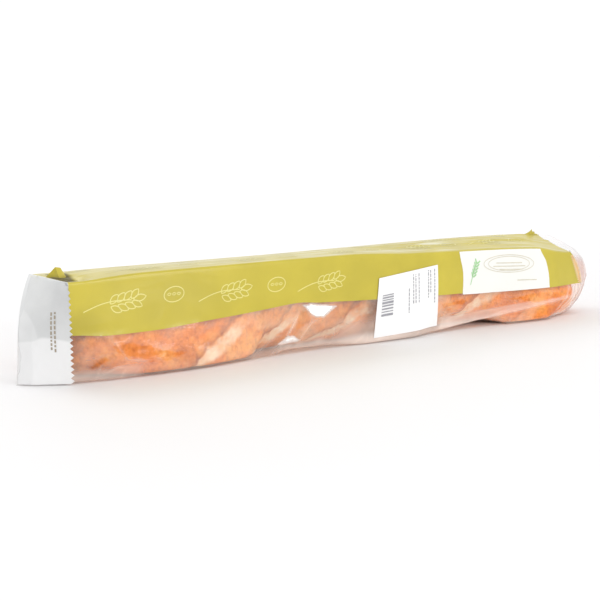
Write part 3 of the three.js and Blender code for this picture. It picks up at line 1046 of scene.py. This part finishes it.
def build_loaf(grid):
    """The loaf, closed at both ends, with its scores and browning painted on, and painted light and shade on
    its crust.
    """
    stations = np.linspace(LOAF_START, LOAF_END, LOAF_RINGS)
    turns = np.linspace(0, 360, LOAF_AROUND, endpoint=False)
    s, angle = np.meshgrid(stations, turns, indexing="ij")
    score_and_painted_light, relief, toast_and_shade = loaf_scores(s, angle)
    points = loaf_points(grid, s, angle, relief)
    faces = grid_faces(LOAF_RINGS, LOAF_AROUND, wrap=True)
    faces.append(list(range(LOAF_AROUND))[::-1])
    faces.append(list(range((LOAF_RINGS - 1) * LOAF_AROUND, LOAF_RINGS * LOAF_AROUND)))
    loaf = mesh_piece("loaf", points, faces, CRUST_LOOK)
    patchy = 0.82 + 0.35 * noise(s / 8, angle / 13, 46) + 0.22 * noise(s / 2.2, angle / 4, 48)
    spots = smooth(noise(s / 5, angle / 9, 49) + 0.5 * noise(s / 2, angle / 4, 50), 0.55, 1.0)
    # A broad pale patch along the middle is painted light, lightening crust that lies in shade; it goes in
    # with the scores.
    patch_clouds = 0.8 + 0.5 * clouds(s / 18, angle / 22, 52)
    painted_light_patch = 0.26 * smooth(s, 105, 165) * (1 - smooth(s, 352, 372)) * patch_clouds
    paint(loaf, "score_and_painted_light", clip01(np.maximum(score_and_painted_light * patchy, painted_light_patch)))
    # Painted shade: the crust just below the print's edge is darkened, where the print keeps light off it; it
    # goes in with the toasting.
    edge = along(PRINT_EDGE, s)
    front_half = np.sin(np.radians(angle)) > 0
    below_print = smooth(points[..., 2], edge - 4.5, edge - 0.5)
    shade_under_print = below_print * front_half * (0.35 + 0.25 * noise(s / 12, 0, 51))
    browned_and_shaded = 0.28 * smooth(clouds(s / 24, angle / 34, 47), 0.1, 0.8) + 0.35 * spots + shade_under_print
    paint(loaf, "toast_and_shade", clip01(toast_and_shade * 0.7 + browned_and_shaded))


# The bag


def film_haze_and_highlight(points):
    """How milky the film is at each point, from clear to white, with a painted highlight on the facets that
    mirror the light.
    """
    s, y, z = axes(points)
    rag = 1.3 * noise(s / 6, z / 4, 61) + 0.6 * noise(s / 2.5, z / 2.2, 62)
    contact = np.zeros_like(s)
    for corners in CONTACTS:
        contact = np.maximum(contact, smooth(inside_corners(s, z, corners) + rag, -0.6, 1.2))
    patches = 0.18 + 0.07 * clouds(s / 34, z / 15, 63) + 0.03 * clouds(s / 9, z / 6, 64)
    patches = patches + 0.04 * (1 - smooth(z, 2, 12)) - 0.07 * smooth(s, 440, 460)
    patches = patches + 0.22 * smooth(s, 222, 256) * (1 - smooth(s, 270, 330)) * (1 - smooth(z, 14, 30))
    off, part = path_distance(s, z, LONG_FOLD)
    wide = lerp(12, 0.4, part**0.7)
    above = smooth(-off, 0.2, 1.2) * (1 - smooth(-off, wide, wide + 2))
    patches = patches + 0.28 * above * smooth(part, 0.0, 0.04) * (1 - smooth(part, 0.75, 1.0))
    skirt_top = 9 + 1.5 * noise(s / 12, 0, 69)
    patches = patches + along(SKIRT_HAZE, s) * (1 - smooth(z, skirt_top - 4, skirt_top + 3))
    haze_and_highlight = patches * (1 - 0.85 * contact)
    small = fold_white(s, z, SMALL_WINDOW_FOLDS) * (1 - 0.6 * contact)
    haze_and_highlight = haze_and_highlight + np.maximum(fold_white(s, z, WINDOW_FOLDS), small) + 0.8 * edge_crests(s, z)
    share = end_share(s, y, z)
    rim = 0.55 * smooth(share, 0.88, 0.96)
    over_end = 0.07 + 0.03 * clouds(s / 12, z / 12, 33) + 0.75 * end_crests(share, z) * smooth(z, 0, 10) + rim
    haze_and_highlight = lerp(haze_and_highlight, over_end * (1 - 0.92 * smooth(z, 44, 58)), smooth(share, 0.0, 0.08))
    # The facets that mirror the light get a painted highlight: their haze is raised towards white.
    return np.clip(haze_and_highlight + 0.6 * film_mirror(points), *HAZE_LIMITS)


def print_painted_shade(points):
    """Painted shade on the print: in the fold behind the fin's corner, and a little low on the front beside
    the fin.
    """
    s, y, z = axes(points)
    rag = 1.2 * noise(s / 4, y / 7, 91)
    pocket = smooth(inside_corners(s, y, POCKET_SHADE) + rag, -1.5, 2.0) * smooth(z, 66, 69)
    by_fin = 0.2 * (1 - smooth(s, 6, 34)) * (1 - smooth(z, 40, 58))
    return clip01(pocket + by_fin)


def print_painted_glare(points):
    """Painted glare: long pale streaks on the top, standing in for the white sheen seen along it."""
    s, y, _ = axes(points)
    streaks = smooth(noise(s / 75, y / 5, 93) + 0.4 * noise(s / 24, y / 2.6, 94), 0.0, 0.75)
    on_top = smooth(y, 1.0, 4.0) * (1 - smooth(y, 56, 62))
    return clip01(streaks * on_top * along(PAINTED_GLARE_SHARE, s))


def back_haze(points):
    """The same for the back of the window."""
    s, _, z = axes(points)
    patches = 0.10 + 0.05 * noise(s / 30, z / 14, 67) + 0.02 * noise(s / 9, z / 6, 68)
    return np.clip(patches + fold_white(s, z, BACK_FOLDS), *HAZE_LIMITS)


def film_mirror(points):
    """1 on the crumpled facets that mirror the light, and where their painted highlight goes."""
    s, y, z = axes(points)
    facet = np.zeros(np.shape(s))
    for corners in GLINTS:
        facet = np.maximum(facet, smooth(glint_depth(s, z, corners), -0.4, 0.6))
    return facet * (y < DEPTH / 2)


def piece_of_bag(name, grid, rings, rows, material, replaces=None):
    """A part of the bag's skin between ring and row numbers; rows may wrap past the last."""
    picked = grid[rings[0] : rings[1] + 1][:, np.arange(rows[0], rows[1] + 1) % ROWS]
    faces = grid_faces(picked.shape[0], picked.shape[1], flip=True)
    return mesh_piece(name, picked, faces, material, replaces=replaces), picked


def build_bag(grid):
    """The film in panels: printed above, clear below, and one for each end."""
    end = grid.shape[0] - 1
    body = (CAP_RINGS, end - CAP_RINGS)
    left, right = (0, body[0]), (body[1], end)
    rows = (ROW_EDGE, ROW_BACK_UPPER + 1)
    printed, picked = piece_of_bag("print_front_and_top", grid, body, rows, GREEN, "pack")
    # Painted shade behind and beside the fin's corner, and painted glare in streaks on the top
    paint(printed, "painted_shade", print_painted_shade(picked))
    paint(printed, "painted_glare", print_painted_glare(picked))
    piece_of_bag("print_back", grid, body, (ROW_BACK_UPPER + 1, ROW_BACK_EDGE), WHITE)
    piece_of_bag("print_left_end", grid, left, (ROW_EDGE, ROW_BACK_EDGE), WHITE)

    def base_haze(points):
        s, y, _ = axes(points)
        return 0.22 + 0.08 * noise(s / 20, y / 9, 66)

    def left_haze(points):
        _, y, z = axes(points)
        return 0.72 + 0.1 * noise(y / 8, z / 8, 65)

    for name, rings, rows, material, haze_and_highlight in (
        ("film_window", body, (0, ROW_EDGE), CLEAR, film_haze_and_highlight),
        ("film_back", body, (ROW_BACK_EDGE, ROW_BACK_HEM), CLEAR, back_haze),
        ("film_base", body, (ROW_BACK_HEM, ROWS), BASE_FILM, base_haze),
        ("film_left_end", left, (ROW_BACK_EDGE, ROWS + ROW_EDGE), MILKY, left_haze),
        ("film_right_end", right, (0, ROWS), END_FILM, film_haze_and_highlight),
    ):
        film, picked = piece_of_bag(name, grid, rings, rows, material)
        # Milky haze, with a painted highlight on the window's bright facets
        paint(film, "haze_and_highlight", haze_and_highlight(picked))
        if name == "film_window":
            paint(film, "mirror", GLINT_MIRROR * film_mirror(picked))
        film.visible_shadow = False


def surface_reader(grid):
    """Reads the folded front and top: a point of the film at s and a way w up and over it."""
    body = grid[CAP_RINGS : grid.shape[0] - CAP_RINGS]
    front = body[:, : ROW_CREASE + 1]
    top = body[:, ROW_TOP : ROW_BACK + 1]

    def read(block, s, across, axis):
        """A point of a block of the film at s, and across it along one axis."""
        middle = block[:, block.shape[1] // 2, 0]
        ring = np.clip(np.searchsorted(middle, s), 1, block.shape[0] - 1)
        t = float(clip01((s - middle[ring - 1]) / max(middle[ring] - middle[ring - 1], 1e-6)))
        line = lerp(block[ring - 1], block[ring], t)
        return [np.interp(across, line[:, axis], line[:, k]) for k in range(3)]

    def over(s, w, off):
        """w runs up the front and on across the top, past the crease, in mm."""
        crease = float(along(CREASE_HEIGHT, s))
        below = crease - CREASE_RADIUS
        if w < below:
            return np.array([s, read(front, s, w, 2)[1] - off, w])
        across = w - crease + CREASE_RADIUS * 0.4
        if across < CREASE_RADIUS:
            angle = clip01((w - below) / (2 * CREASE_RADIUS)) * np.pi / 2
            y = read(front, s, below, 2)[1] - off + CREASE_RADIUS * (1 - math.cos(angle))
            return np.array([s, y, crease - CREASE_RADIUS * (1 - math.sin(angle)) + off])
        return np.array([s, across, read(top, s, across, 1)[2] + off])

    return over


# Print: strokes and fields laid on the film


class Strokes:
    """Gathers thin ribbons that follow a surface, and makes them one mesh."""

    def __init__(self, surface, off):
        self.surface = surface
        self.off = off
        self.points = []
        self.faces = []

    def ribbon(self, line, width, closed=False):
        """One ribbon along a line of points."""
        line = np.asarray(line, float)
        if closed:
            line = np.vstack([line, line[:1]])
        direction = np.gradient(line, axis=0)
        direction /= np.maximum(np.linalg.norm(direction, axis=1, keepdims=True), 1e-9)
        side = np.stack([-direction[:, 1], direction[:, 0]], axis=1) * width / 2
        base = len(self.points)
        for p, d in zip(line, side):
            self.points.append(self.surface(p[0] + d[0], p[1] + d[1], self.off))
            self.points.append(self.surface(p[0] - d[0], p[1] - d[1], self.off))
        for a in range(base, base + 2 * len(line) - 2, 2):
            self.faces.append([a, a + 1, a + 3, a + 2])

    def finish(self, name, material):
        """Makes the mesh of all the ribbons."""
        mesh_piece(name, np.array(self.points), self.faces, material)


def turned(points, centre, angle, scale=1.0):
    """Points made larger, turned, and moved to a centre."""
    cos, sin = math.cos(angle), math.sin(angle)
    points = np.asarray(points, float) * scale
    x = points[:, 0] * cos - points[:, 1] * sin + centre[0]
    y = points[:, 0] * sin + points[:, 1] * cos + centre[1]
    return np.stack([x, y], axis=1)


def oval(half_long, half_wide, steps=20):
    """An oval round the origin."""
    t = np.linspace(0, 2 * np.pi, steps, endpoint=False)
    return np.stack([half_long * np.cos(t), half_wide * np.sin(t)], axis=1)


def grain_outline(length, width, steps=9):
    """An almond from the origin along +x."""
    t = np.linspace(0, 1, steps)
    side = width / 2 * np.sin(np.pi * t) ** 0.8
    upper = np.stack([length * t, side], axis=1)
    lower = np.stack([length * t[::-1], -side[::-1]], axis=1)
    return np.vstack([upper, lower[1:-1]])


def wheat_ear(strokes, centre, angle, size, width):
    """An ear of wheat in outline: a bent stalk with pairs of grains and one at the tip."""
    t = np.linspace(0, 1, 12)
    stalk = np.stack([lerp(-0.5, 0.22, t), 0.05 * np.sin(np.pi * t)], axis=1)
    strokes.ribbon(turned(stalk, centre, angle, size), width)
    for i in range(4):
        x = lerp(-0.10, 0.22, i / 3)
        for side in (1, -1):
            grain = turned(grain_outline(0.17, 0.085), (x, 0.02 * side), side * 0.62)
            strokes.ribbon(turned(grain, centre, angle, size), width, closed=True)
    tip = turned(grain_outline(0.20, 0.09), (0.25, 0.0), 0.0)
    strokes.ribbon(turned(tip, centre, angle, size), width, closed=True)


def build_print(over):
    """A generic repeat of wheat ears and small seeded rings over the green."""
    strokes = Strokes(over, LINES_OFF)
    for w, first, lean in PRINT_ROWS:
        for i, s in enumerate(np.arange(first, PRINT_LAST, PRINT_PITCH)):
            covered = w < CREASE_LEVEL and any(low < s < high for low, high in PRINT_GAPS)
            end = right_end(max(w - CREASE_LEVEL, 0), min(w, CREASE_LEVEL))
            if covered or s > end - PRINT_MARGIN:
                continue
            if i % 2 == 0:
                wheat_ear(strokes, (s, w), lean, PRINT_EAR, PRINT_STROKE)
                continue
            strokes.ribbon(turned(oval(*PRINT_RING), (s, w + 3), lean), PRINT_STROKE, closed=True)
            for k in (-1, 0, 1):
                seed = turned(grain_outline(*PRINT_SEED, 6), (s + k * 4.0 - 1.5, w + 3), lean)
                strokes.ribbon(seed, PRINT_SEED_STROKE, closed=True)
    strokes.finish("print_lines", LINE)


def build_panel(over):
    """The white panel near the right end, with a sprig, a double loop and a few rules."""
    columns, rows = PANEL_GRID
    points = []
    for r in range(rows + 1):
        for c in range(columns + 1):
            u = c / columns
            guess = lerp(*PANEL_SPAN, u)
            low = float(along(PRINT_EDGE, guess)) + 0.1
            high = float(along(CREASE_HEIGHT, guess)) - 0.5
            z = lerp(low, high, r / rows)
            s = lerp(float(along(PANEL_LEFT, z)), float(along(PANEL_RIGHT, z)), u)
            points.append(over(s, z, PANEL_OFF))
    mesh_piece("print_panel", np.array(points), grid_faces(rows + 1, columns + 1), PANEL)

    green = Strokes(over, PANEL_MARKS_OFF)
    stalk = turned([(-13, 0), (-6, 0.6), (2, 0.4), (9, 0)], SPRIG_AT, SPRIG_LEAN)
    green.ribbon(stalk, 0.7)
    for k in range(5):
        for side in (1, -1):
            foot = turned([(3.2 * k - 5.5, 0.5 * side)], SPRIG_AT, SPRIG_LEAN)[0]
            leaf = turned([(0, 0), (1.4, 0), (3.2, 0), (4.4, 0)], foot, SPRIG_LEAN + SPRIG_SPREAD * side)
            green.ribbon(leaf, 1.3)
    green.finish("panel_sprig", GREEN_INK)

    grey = Strokes(over, PANEL_MARKS_OFF)
    for z, start, length, width in PANEL_RULES:
        places = np.linspace(start, start + length, 25)
        grey.ribbon(np.stack([places, z - PANEL_SLOPE * (places - PANEL_LEVEL_AT)], axis=1), width)
    for half in (1.0, 0.82):
        loop = turned(oval(LOOP_SIZE[0] * half, LOOP_SIZE[1] * half, 56), LOOP_AT, -PANEL_SLOPE)
        grey.ribbon(loop, 0.55, closed=True)
    grey.finish("panel_rules", GREY_INK)


# The label


def label_point(u, v, off):
    """A point off the label's face, across and up it, in flat panes as on the solid."""
    corners = np.array(LABEL_CORNERS)
    columns, rows = LABEL_PANES

    def flat(a, b):
        """The label's s and z, at shares a across and b up."""
        return lerp(lerp(corners[0], corners[1], a), lerp(corners[3], corners[2], a), b)

    def skin(a, b):
        """The label's y at a corner of its panes."""
        s, z = flat(a / columns, b / rows)
        return min(float(front_y(s, z + d)) for d in (-LABEL_REACH, 0.0, LABEL_REACH)) - LABEL_FACE

    cu = float(clip01(u)) * columns
    cv = float(clip01(v)) * rows
    i = int(min(cu, columns - 1))
    j = int(min(cv, rows - 1))
    low = lerp(skin(i, j), skin(i + 1, j), cu - i)
    high = lerp(skin(i, j + 1), skin(i + 1, j + 1), cu - i)
    s, z = flat(u, v)
    return np.array([s, lerp(low, high, cv - j) - off, z])


def build_label_marks():
    """Plain bars and broken lines on the label."""
    marks = Strokes(label_point, LABEL_MARKS_OFF)
    rng = np.random.default_rng(5)
    v, last = LABEL_BARS
    while v < last:
        width = float(rng.choice([0.018, 0.026, 0.038]))
        marks.ribbon([(u, v + width / 2) for u in (0.075, 0.16, 0.25)], width)
        v += width + float(rng.choice([0.018, 0.026]))
    for u, low, high in LABEL_LINES:
        v = low
        while v < high:
            length = float(rng.uniform(0.02, 0.06))
            marks.ribbon([(u, v), (u, min(v + length, high))], 0.013)
            v += length + 0.016
    marks.finish("label_marks", LABEL_INK_LOOK)


# The fins at the ends


def fin_grid(edge_at, fold_at, low, high, share, crease_puff, side, across):
    """Points of a fin's outer face, rows by columns, with its free edge cut in teeth.

    The face runs from edge_at(z) for a share of the way to fold_at(z), and side says on which
    side of that line it lies.
    """
    per_tooth = 8
    steps = int((high - low) // TOOTH_PITCH) * per_tooth
    rows = []
    for i in range(steps + 1):
        z = lerp(low, high, i / steps)
        edge = np.array(edge_at(z), float)
        fold = np.array([float(v) for v in fold_at(z)])
        run = edge - fold
        run[2] = 0
        run /= np.linalg.norm(run)
        face = np.array([run[1], -run[0], 0]) * side
        phase = (i % per_tooth) / per_tooth
        tooth = TOOTH_ROOT + (TOOTH_LENGTH - TOOTH_ROOT) * (1 - abs(2 * phase - 1))
        tooth -= FIN_CORNER * max(0.0, (z - high + FIN_CORNER) / FIN_CORNER) ** 2
        flat = 1 - float(clip01(z / LEFT_FOLD["height"])) ** 4
        row = []
        for k in range(across + 1):
            part = (k / across) ** FIN_SPACING
            kink = min(part / FIN_CREASE_AT, (1 - part) / (1 - FIN_CREASE_AT))
            wave = 0.35 * float(noise(z / 17, part * 3.0, 71)) + 0.16 * float(noise(z / 5, part * 7.0, 72))
            lift = FIN_LIFT * (1 - part) + crease_puff * flat * kink + wave * min(1.0, part * 6)
            reach = tooth * max(0.0, 1 - k / 3)
            row.append(edge + (fold - edge) * part * share + run * reach + face * lift)
        rows.append(row)
    return np.array(rows)


def thick_sheet(name, rows, material):
    """A sheet with a back, so that its edge shows; the back lies under the given face."""
    n = np.cross(np.gradient(rows, axis=1), np.gradient(rows, axis=0))
    n /= np.maximum(np.linalg.norm(n, axis=2, keepdims=True), 1e-9)
    if np.mean(n[..., 1]) > 0:
        n = -n
    under = rows - n * FIN_SHEET
    count_r, count_c = rows.shape[:2]
    points = np.concatenate([rows.reshape(-1, 3), under.reshape(-1, 3)])
    faces = grid_faces(count_r, count_c)
    shift = count_r * count_c
    faces += [[i + shift for i in quad[::-1]] for quad in faces]
    rim = [(r, 0) for r in range(count_r)] + [(count_r - 1, c) for c in range(1, count_c)]
    rim += [(r, count_c - 1) for r in range(count_r - 2, -1, -1)]
    rim += [(0, c) for c in range(count_c - 2, 0, -1)]
    index = [r * count_c + c for r, c in rim]
    for a, b in zip(index, index[1:] + index[:1]):
        faces.append([a, b, b + shift, a + shift])
    return mesh_piece(name, points, faces, material)


def fin_tone_and_painted_light(points):
    """White below a curved line across the fin, where the film is milky, and grey above by painted shade; the
    folded ear is lighter by painted light and the top darker by painted shade.
    """
    s, _, z = axes(points)
    across = clip01(-s / LEFT_FOLD["reach"])
    line = 31 + 1.5 * np.sin(np.pi * across) ** 2 - 2 * across + 1.2 * noise(across * 4, z / 20, 83)
    below = 1 - smooth(z, line - 1.0, line + 1.4)
    # Painted light on the folded ear, and painted shade towards the fin's top
    ear = 0.28 * smooth(across, 0.58, 0.62) + 0.12 * noise(s / 6, z / 9, 84)
    middle = 0.15 * (1 - smooth(z, 50, 64))
    return clip01(np.maximum(0.9 * below, ear + middle))


def build_fins():
    """Both fins; returns the left one's outer face."""
    left = fin_grid(
        lambda z: (0, 0.4, z), left_fold,
        low=0.6, high=70.8, share=0.985, crease_puff=FIN_CREASE_PUFF, side=1, across=44,
    )
    fin = thick_sheet("fin_left", left, FOLD_WHITE)
    corners = np.array([v.co[:] for v in fin.data.vertices]) / MM + ORIGIN
    # Painted light and shade on the fin's white print, milky white below
    paint(fin, "tone_and_painted_light", fin_tone_and_painted_light(corners))

    right = fin_grid(
        lambda z: (float(right_end(0, z)) - 0.4, 0.6, z), right_fold,
        low=12, high=62, share=0.12, crease_puff=0.0, side=-1, across=8,
    )
    strip = thick_sheet("fin_right", right, MILKY)
    paint(strip, "haze_and_highlight", np.full(len(strip.data.vertices), 0.55))
    return left


def build_end_teeth(grid):
    """The right fin's zigzag edge where it shows past the print: a pale band and a warm line."""
    normals = normals_of(grid)
    last = grid.shape[0] - 1 - CAP_RINGS
    low, high = ROW_EDGE + 0.4, ROW_CREASE - 1.5

    def skin(back, row, off):
        """A point of the film some rings back from the print's end, at a row of the grid."""
        ring = last - max(back, 0.001)
        r, c = int(ring), int(row)
        near = lerp(grid[r, c], grid[r, c + 1], row - c)
        far = lerp(grid[r + 1, c], grid[r + 1, c + 1], row - c)
        return lerp(near, far, ring - r) + normals[r, c] * off

    steps = 2 * END_TEETH
    points = []
    for i in range(steps + 1):
        part = i / steps
        width = END_BAND * (0.5 + 0.5 * math.sin(math.pi * part)) + END_TOOTH * (i % 2)
        for k in range(5):
            points.append(skin(width * (1 - k / 4), lerp(low, high, part), BAND_OFF))
    mesh_piece("end_band", np.array(points), grid_faces(steps + 1, 5), TEETH)

    line = Strokes(skin, TEETH_OFF)
    zigzag = [(0.3 * END_BAND + 2.0 * (i % 2), lerp(low + 1, high - 1, i / steps)) for i in range(steps + 1)]
    line.ribbon(zigzag, 0.8)
    line.finish("end_teeth", WARM_LINE)


def build_fin_code(left):
    """Two rows of plain dashes down the left fin."""
    heights = left[:, 0, 2]
    columns = left.shape[1] - 1

    def on_fin(t, z, off):
        """A point off the fin's face, a share t across it and z high."""
        row = float(np.interp(z, heights, np.arange(len(heights))))
        r = int(min(row, len(heights) - 2))
        line = lerp(left[r], left[r + 1], row - r)
        column = max(t, 0.0) ** (1 / FIN_SPACING) * columns
        c = int(min(column, columns - 1))
        return lerp(line[c], line[c + 1], column - c) + np.array([-0.75, -0.6, 0.0]) * off

    marks = Strokes(on_fin, CODE_OFF)
    rng = np.random.default_rng(9)
    for t, low, high in FIN_CODE_ROWS:
        z = low
        while z < high:
            length = float(rng.uniform(1.2, 2.6))
            marks.ribbon([(t, z), (t, z + length)], 0.032)
            z += length + 1.0
    marks.finish("fin_code", CODE_INK_LOOK)


# The standing gusset corners


def build_left_corner():
    """The left gusset corner: a small tent of four swollen faces under a short ridge, with painted shade at
    its foot.
    """
    tops = np.array([LEFT_RIDGE[0], LEFT_RIDGE[0], LEFT_RIDGE[1], LEFT_RIDGE[1]])
    foot = np.array(LEFT_FOOT, float)
    points, faces = [], []
    steps = 10
    for k in range(4):
        a, b = foot[k], foot[(k + 1) % 4]
        top_a, top_b = tops[k], tops[(k + 1) % 4]
        out = (a + b) / 2 - foot.mean(axis=0)
        out /= np.linalg.norm(out)
        start = len(points)
        faces += [[start + corner for corner in quad] for quad in grid_faces(steps + 1, steps + 1)]
        for u in np.arange(steps + 1) / steps:
            for v in np.arange(steps + 1) / steps:
                p = lerp(lerp(a, b, v), lerp(top_a, top_b, v), u)
                swell = 0.6 * math.sin(math.pi * u) * math.sin(math.pi * v)
                points.append(p + out * swell * (1 if k % 2 else -1))
    tent = mesh_piece("corner_left", np.array(points), faces, GREEN)
    # Painted shade, darker towards the tent's foot
    paint(tent, "painted_shade", [0.5 * float(1 - smooth(p[2], 70, 74)) for p in points])


def build_right_corner():
    """The right gusset corner: a thin upright ear whose top edge falls in teeth."""
    s, z, run, drop, teeth = (RIGHT_CORNER[key] for key in ("s", "z", "run", "drop", "teeth"))
    outline = [(s - 2.3 * run + 0.1 * k * 1.3 * run, lerp(z - 8, z - 5.2, 0.1 * k)) for k in range(10)]
    outline += [(lerp(s - run, s, 0.2 * k), lerp(z - 5, z, (0.2 * k) ** 1.3)) for k in range(6)]
    for i in range(1, teeth + 1):
        t = i / teeth
        outline += [(s + run * t - 3.4, z - drop * t + 0.4), (s + run * t, z - drop * t)]
    points = []
    layers = 4
    for a, b in outline:
        lean = 0.9 * math.sin(a * 0.35) * (b - 70) / 8
        for t in np.arange(layers + 1) / layers:
            points.append((a, DEPTH - 1.6 + lean * (1 - t), lerp(b, RIGHT_CORNER["foot"], t)))
    ear = mesh_piece("corner_right", np.array(points), grid_faces(len(outline), layers + 1), GREEN)
    solid = ear.modifiers.new("thickness", "SOLIDIFY")
    solid.thickness = RIGHT_CORNER["thickness"] * MM
    solid.offset = 0


# The scene


def build_stage():
    """A plain pale floor that brightens away from the pack, by painted light: its own glow."""
    mesh = bpy.data.meshes.new("floor")
    half = FLOOR_HALF
    corners = [(x, y, FLOOR_LEVEL) for x, y in ((-half, -half), (half, -half), (half, half), (-half, half))]
    mesh.from_pydata(corners, [], [[0, 1, 2, 3]])
    floor = add_object("floor", mesh)
    material, tree, shader = new_material("studio_floor")
    place_on_floor = add_node(tree, "TexCoord", {}).outputs["Object"]
    away = add_node(tree, "VectorMath", {0: place_on_floor}, operation="LENGTH")
    glow = add_node(tree, "MapRange", {
        "Value": away.outputs["Value"],
        "From Min": FLOOR_GLOW_FROM,
        "From Max": FLOOR_GLOW_TO,
        "To Max": FLOOR_GLOW,
    })
    feed(tree, shader, {
        "Base Color": FLOOR_COLOUR,
        "Roughness": 0.6,
        "Specular IOR Level": 0.2,
        "Emission Color": PLAIN_WHITE,
        "Emission Strength": glow.outputs["Result"],
    })
    mesh.materials.append(material)


def add_light(name, position, target, size, power):
    """A rectangular light that faces its target."""
    data = bpy.data.lights.new(name, "AREA")
    data.shape = "RECTANGLE"
    data.size, data.size_y = size
    data.energy = power
    light = add_object(name, data)
    light.location = position
    direction = np.array(target) - np.array(position)
    yaw = math.atan2(direction[1], direction[0])
    pitch = math.atan2(math.hypot(direction[0], direction[1]), -direction[2])
    light.rotation_euler = (pitch, 0, yaw - math.pi / 2)


def build_lights():
    """A white backdrop behind and above, a dimmer room in front, a softbox and a key."""
    world = bpy.data.worlds.new("studio")
    bpy.context.scene.world = world
    world.use_nodes = True
    tree = world.node_tree
    way = add_node(tree, "TexCoord", {}).outputs["Generated"]
    toward = add_node(tree, "VectorMath", {0: way, 1: BACKDROP_TOWARD}, operation="DOT_PRODUCT")
    level = add_node(tree, "MapRange", {
        "Value": toward.outputs["Value"],
        "From Min": -0.55,
        "From Max": 0.35,
        "To Min": ROOM_LEVEL,
        "To Max": BACKDROP_LEVEL,
    })
    feed(tree, tree.nodes["Background"], {"Strength": level.outputs["Result"], "Color": PLAIN_WHITE})
    add_light("softbox", *SOFTBOX)
    add_light("key", *KEY)


def build_camera():
    """The camera at the photo's viewing angle."""
    data = bpy.data.cameras.new("camera")
    data.sensor_width = 36.0
    data.lens = CAMERA_LENS
    data.clip_start = 0.01
    data.clip_end = 50.0
    camera = add_object("camera", data)
    bpy.context.scene.camera = camera
    camera.location = place(CAMERA_AT).tolist()
    camera.rotation_euler = (math.radians(90 - CAMERA_ELEVATION), 0, math.radians(CAMERA_AZIMUTH))


def main():
    """Builds the whole scene."""
    build_camera()
    build_stage()
    build_lights()
    bpy.context.scene.view_settings.view_transform = "Standard"
    grid = folded(bag_grid())
    build_loaf(grid)
    build_bag(grid)
    over = surface_reader(grid)
    build_print(over)
    build_panel(over)
    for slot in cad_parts["price_label"].material_slots:
        slot.material = PAPER
    build_label_marks()
    build_end_teeth(grid)
    left = build_fins()
    build_fin_code(left)
    build_left_corner()
    build_right_corner()


main()
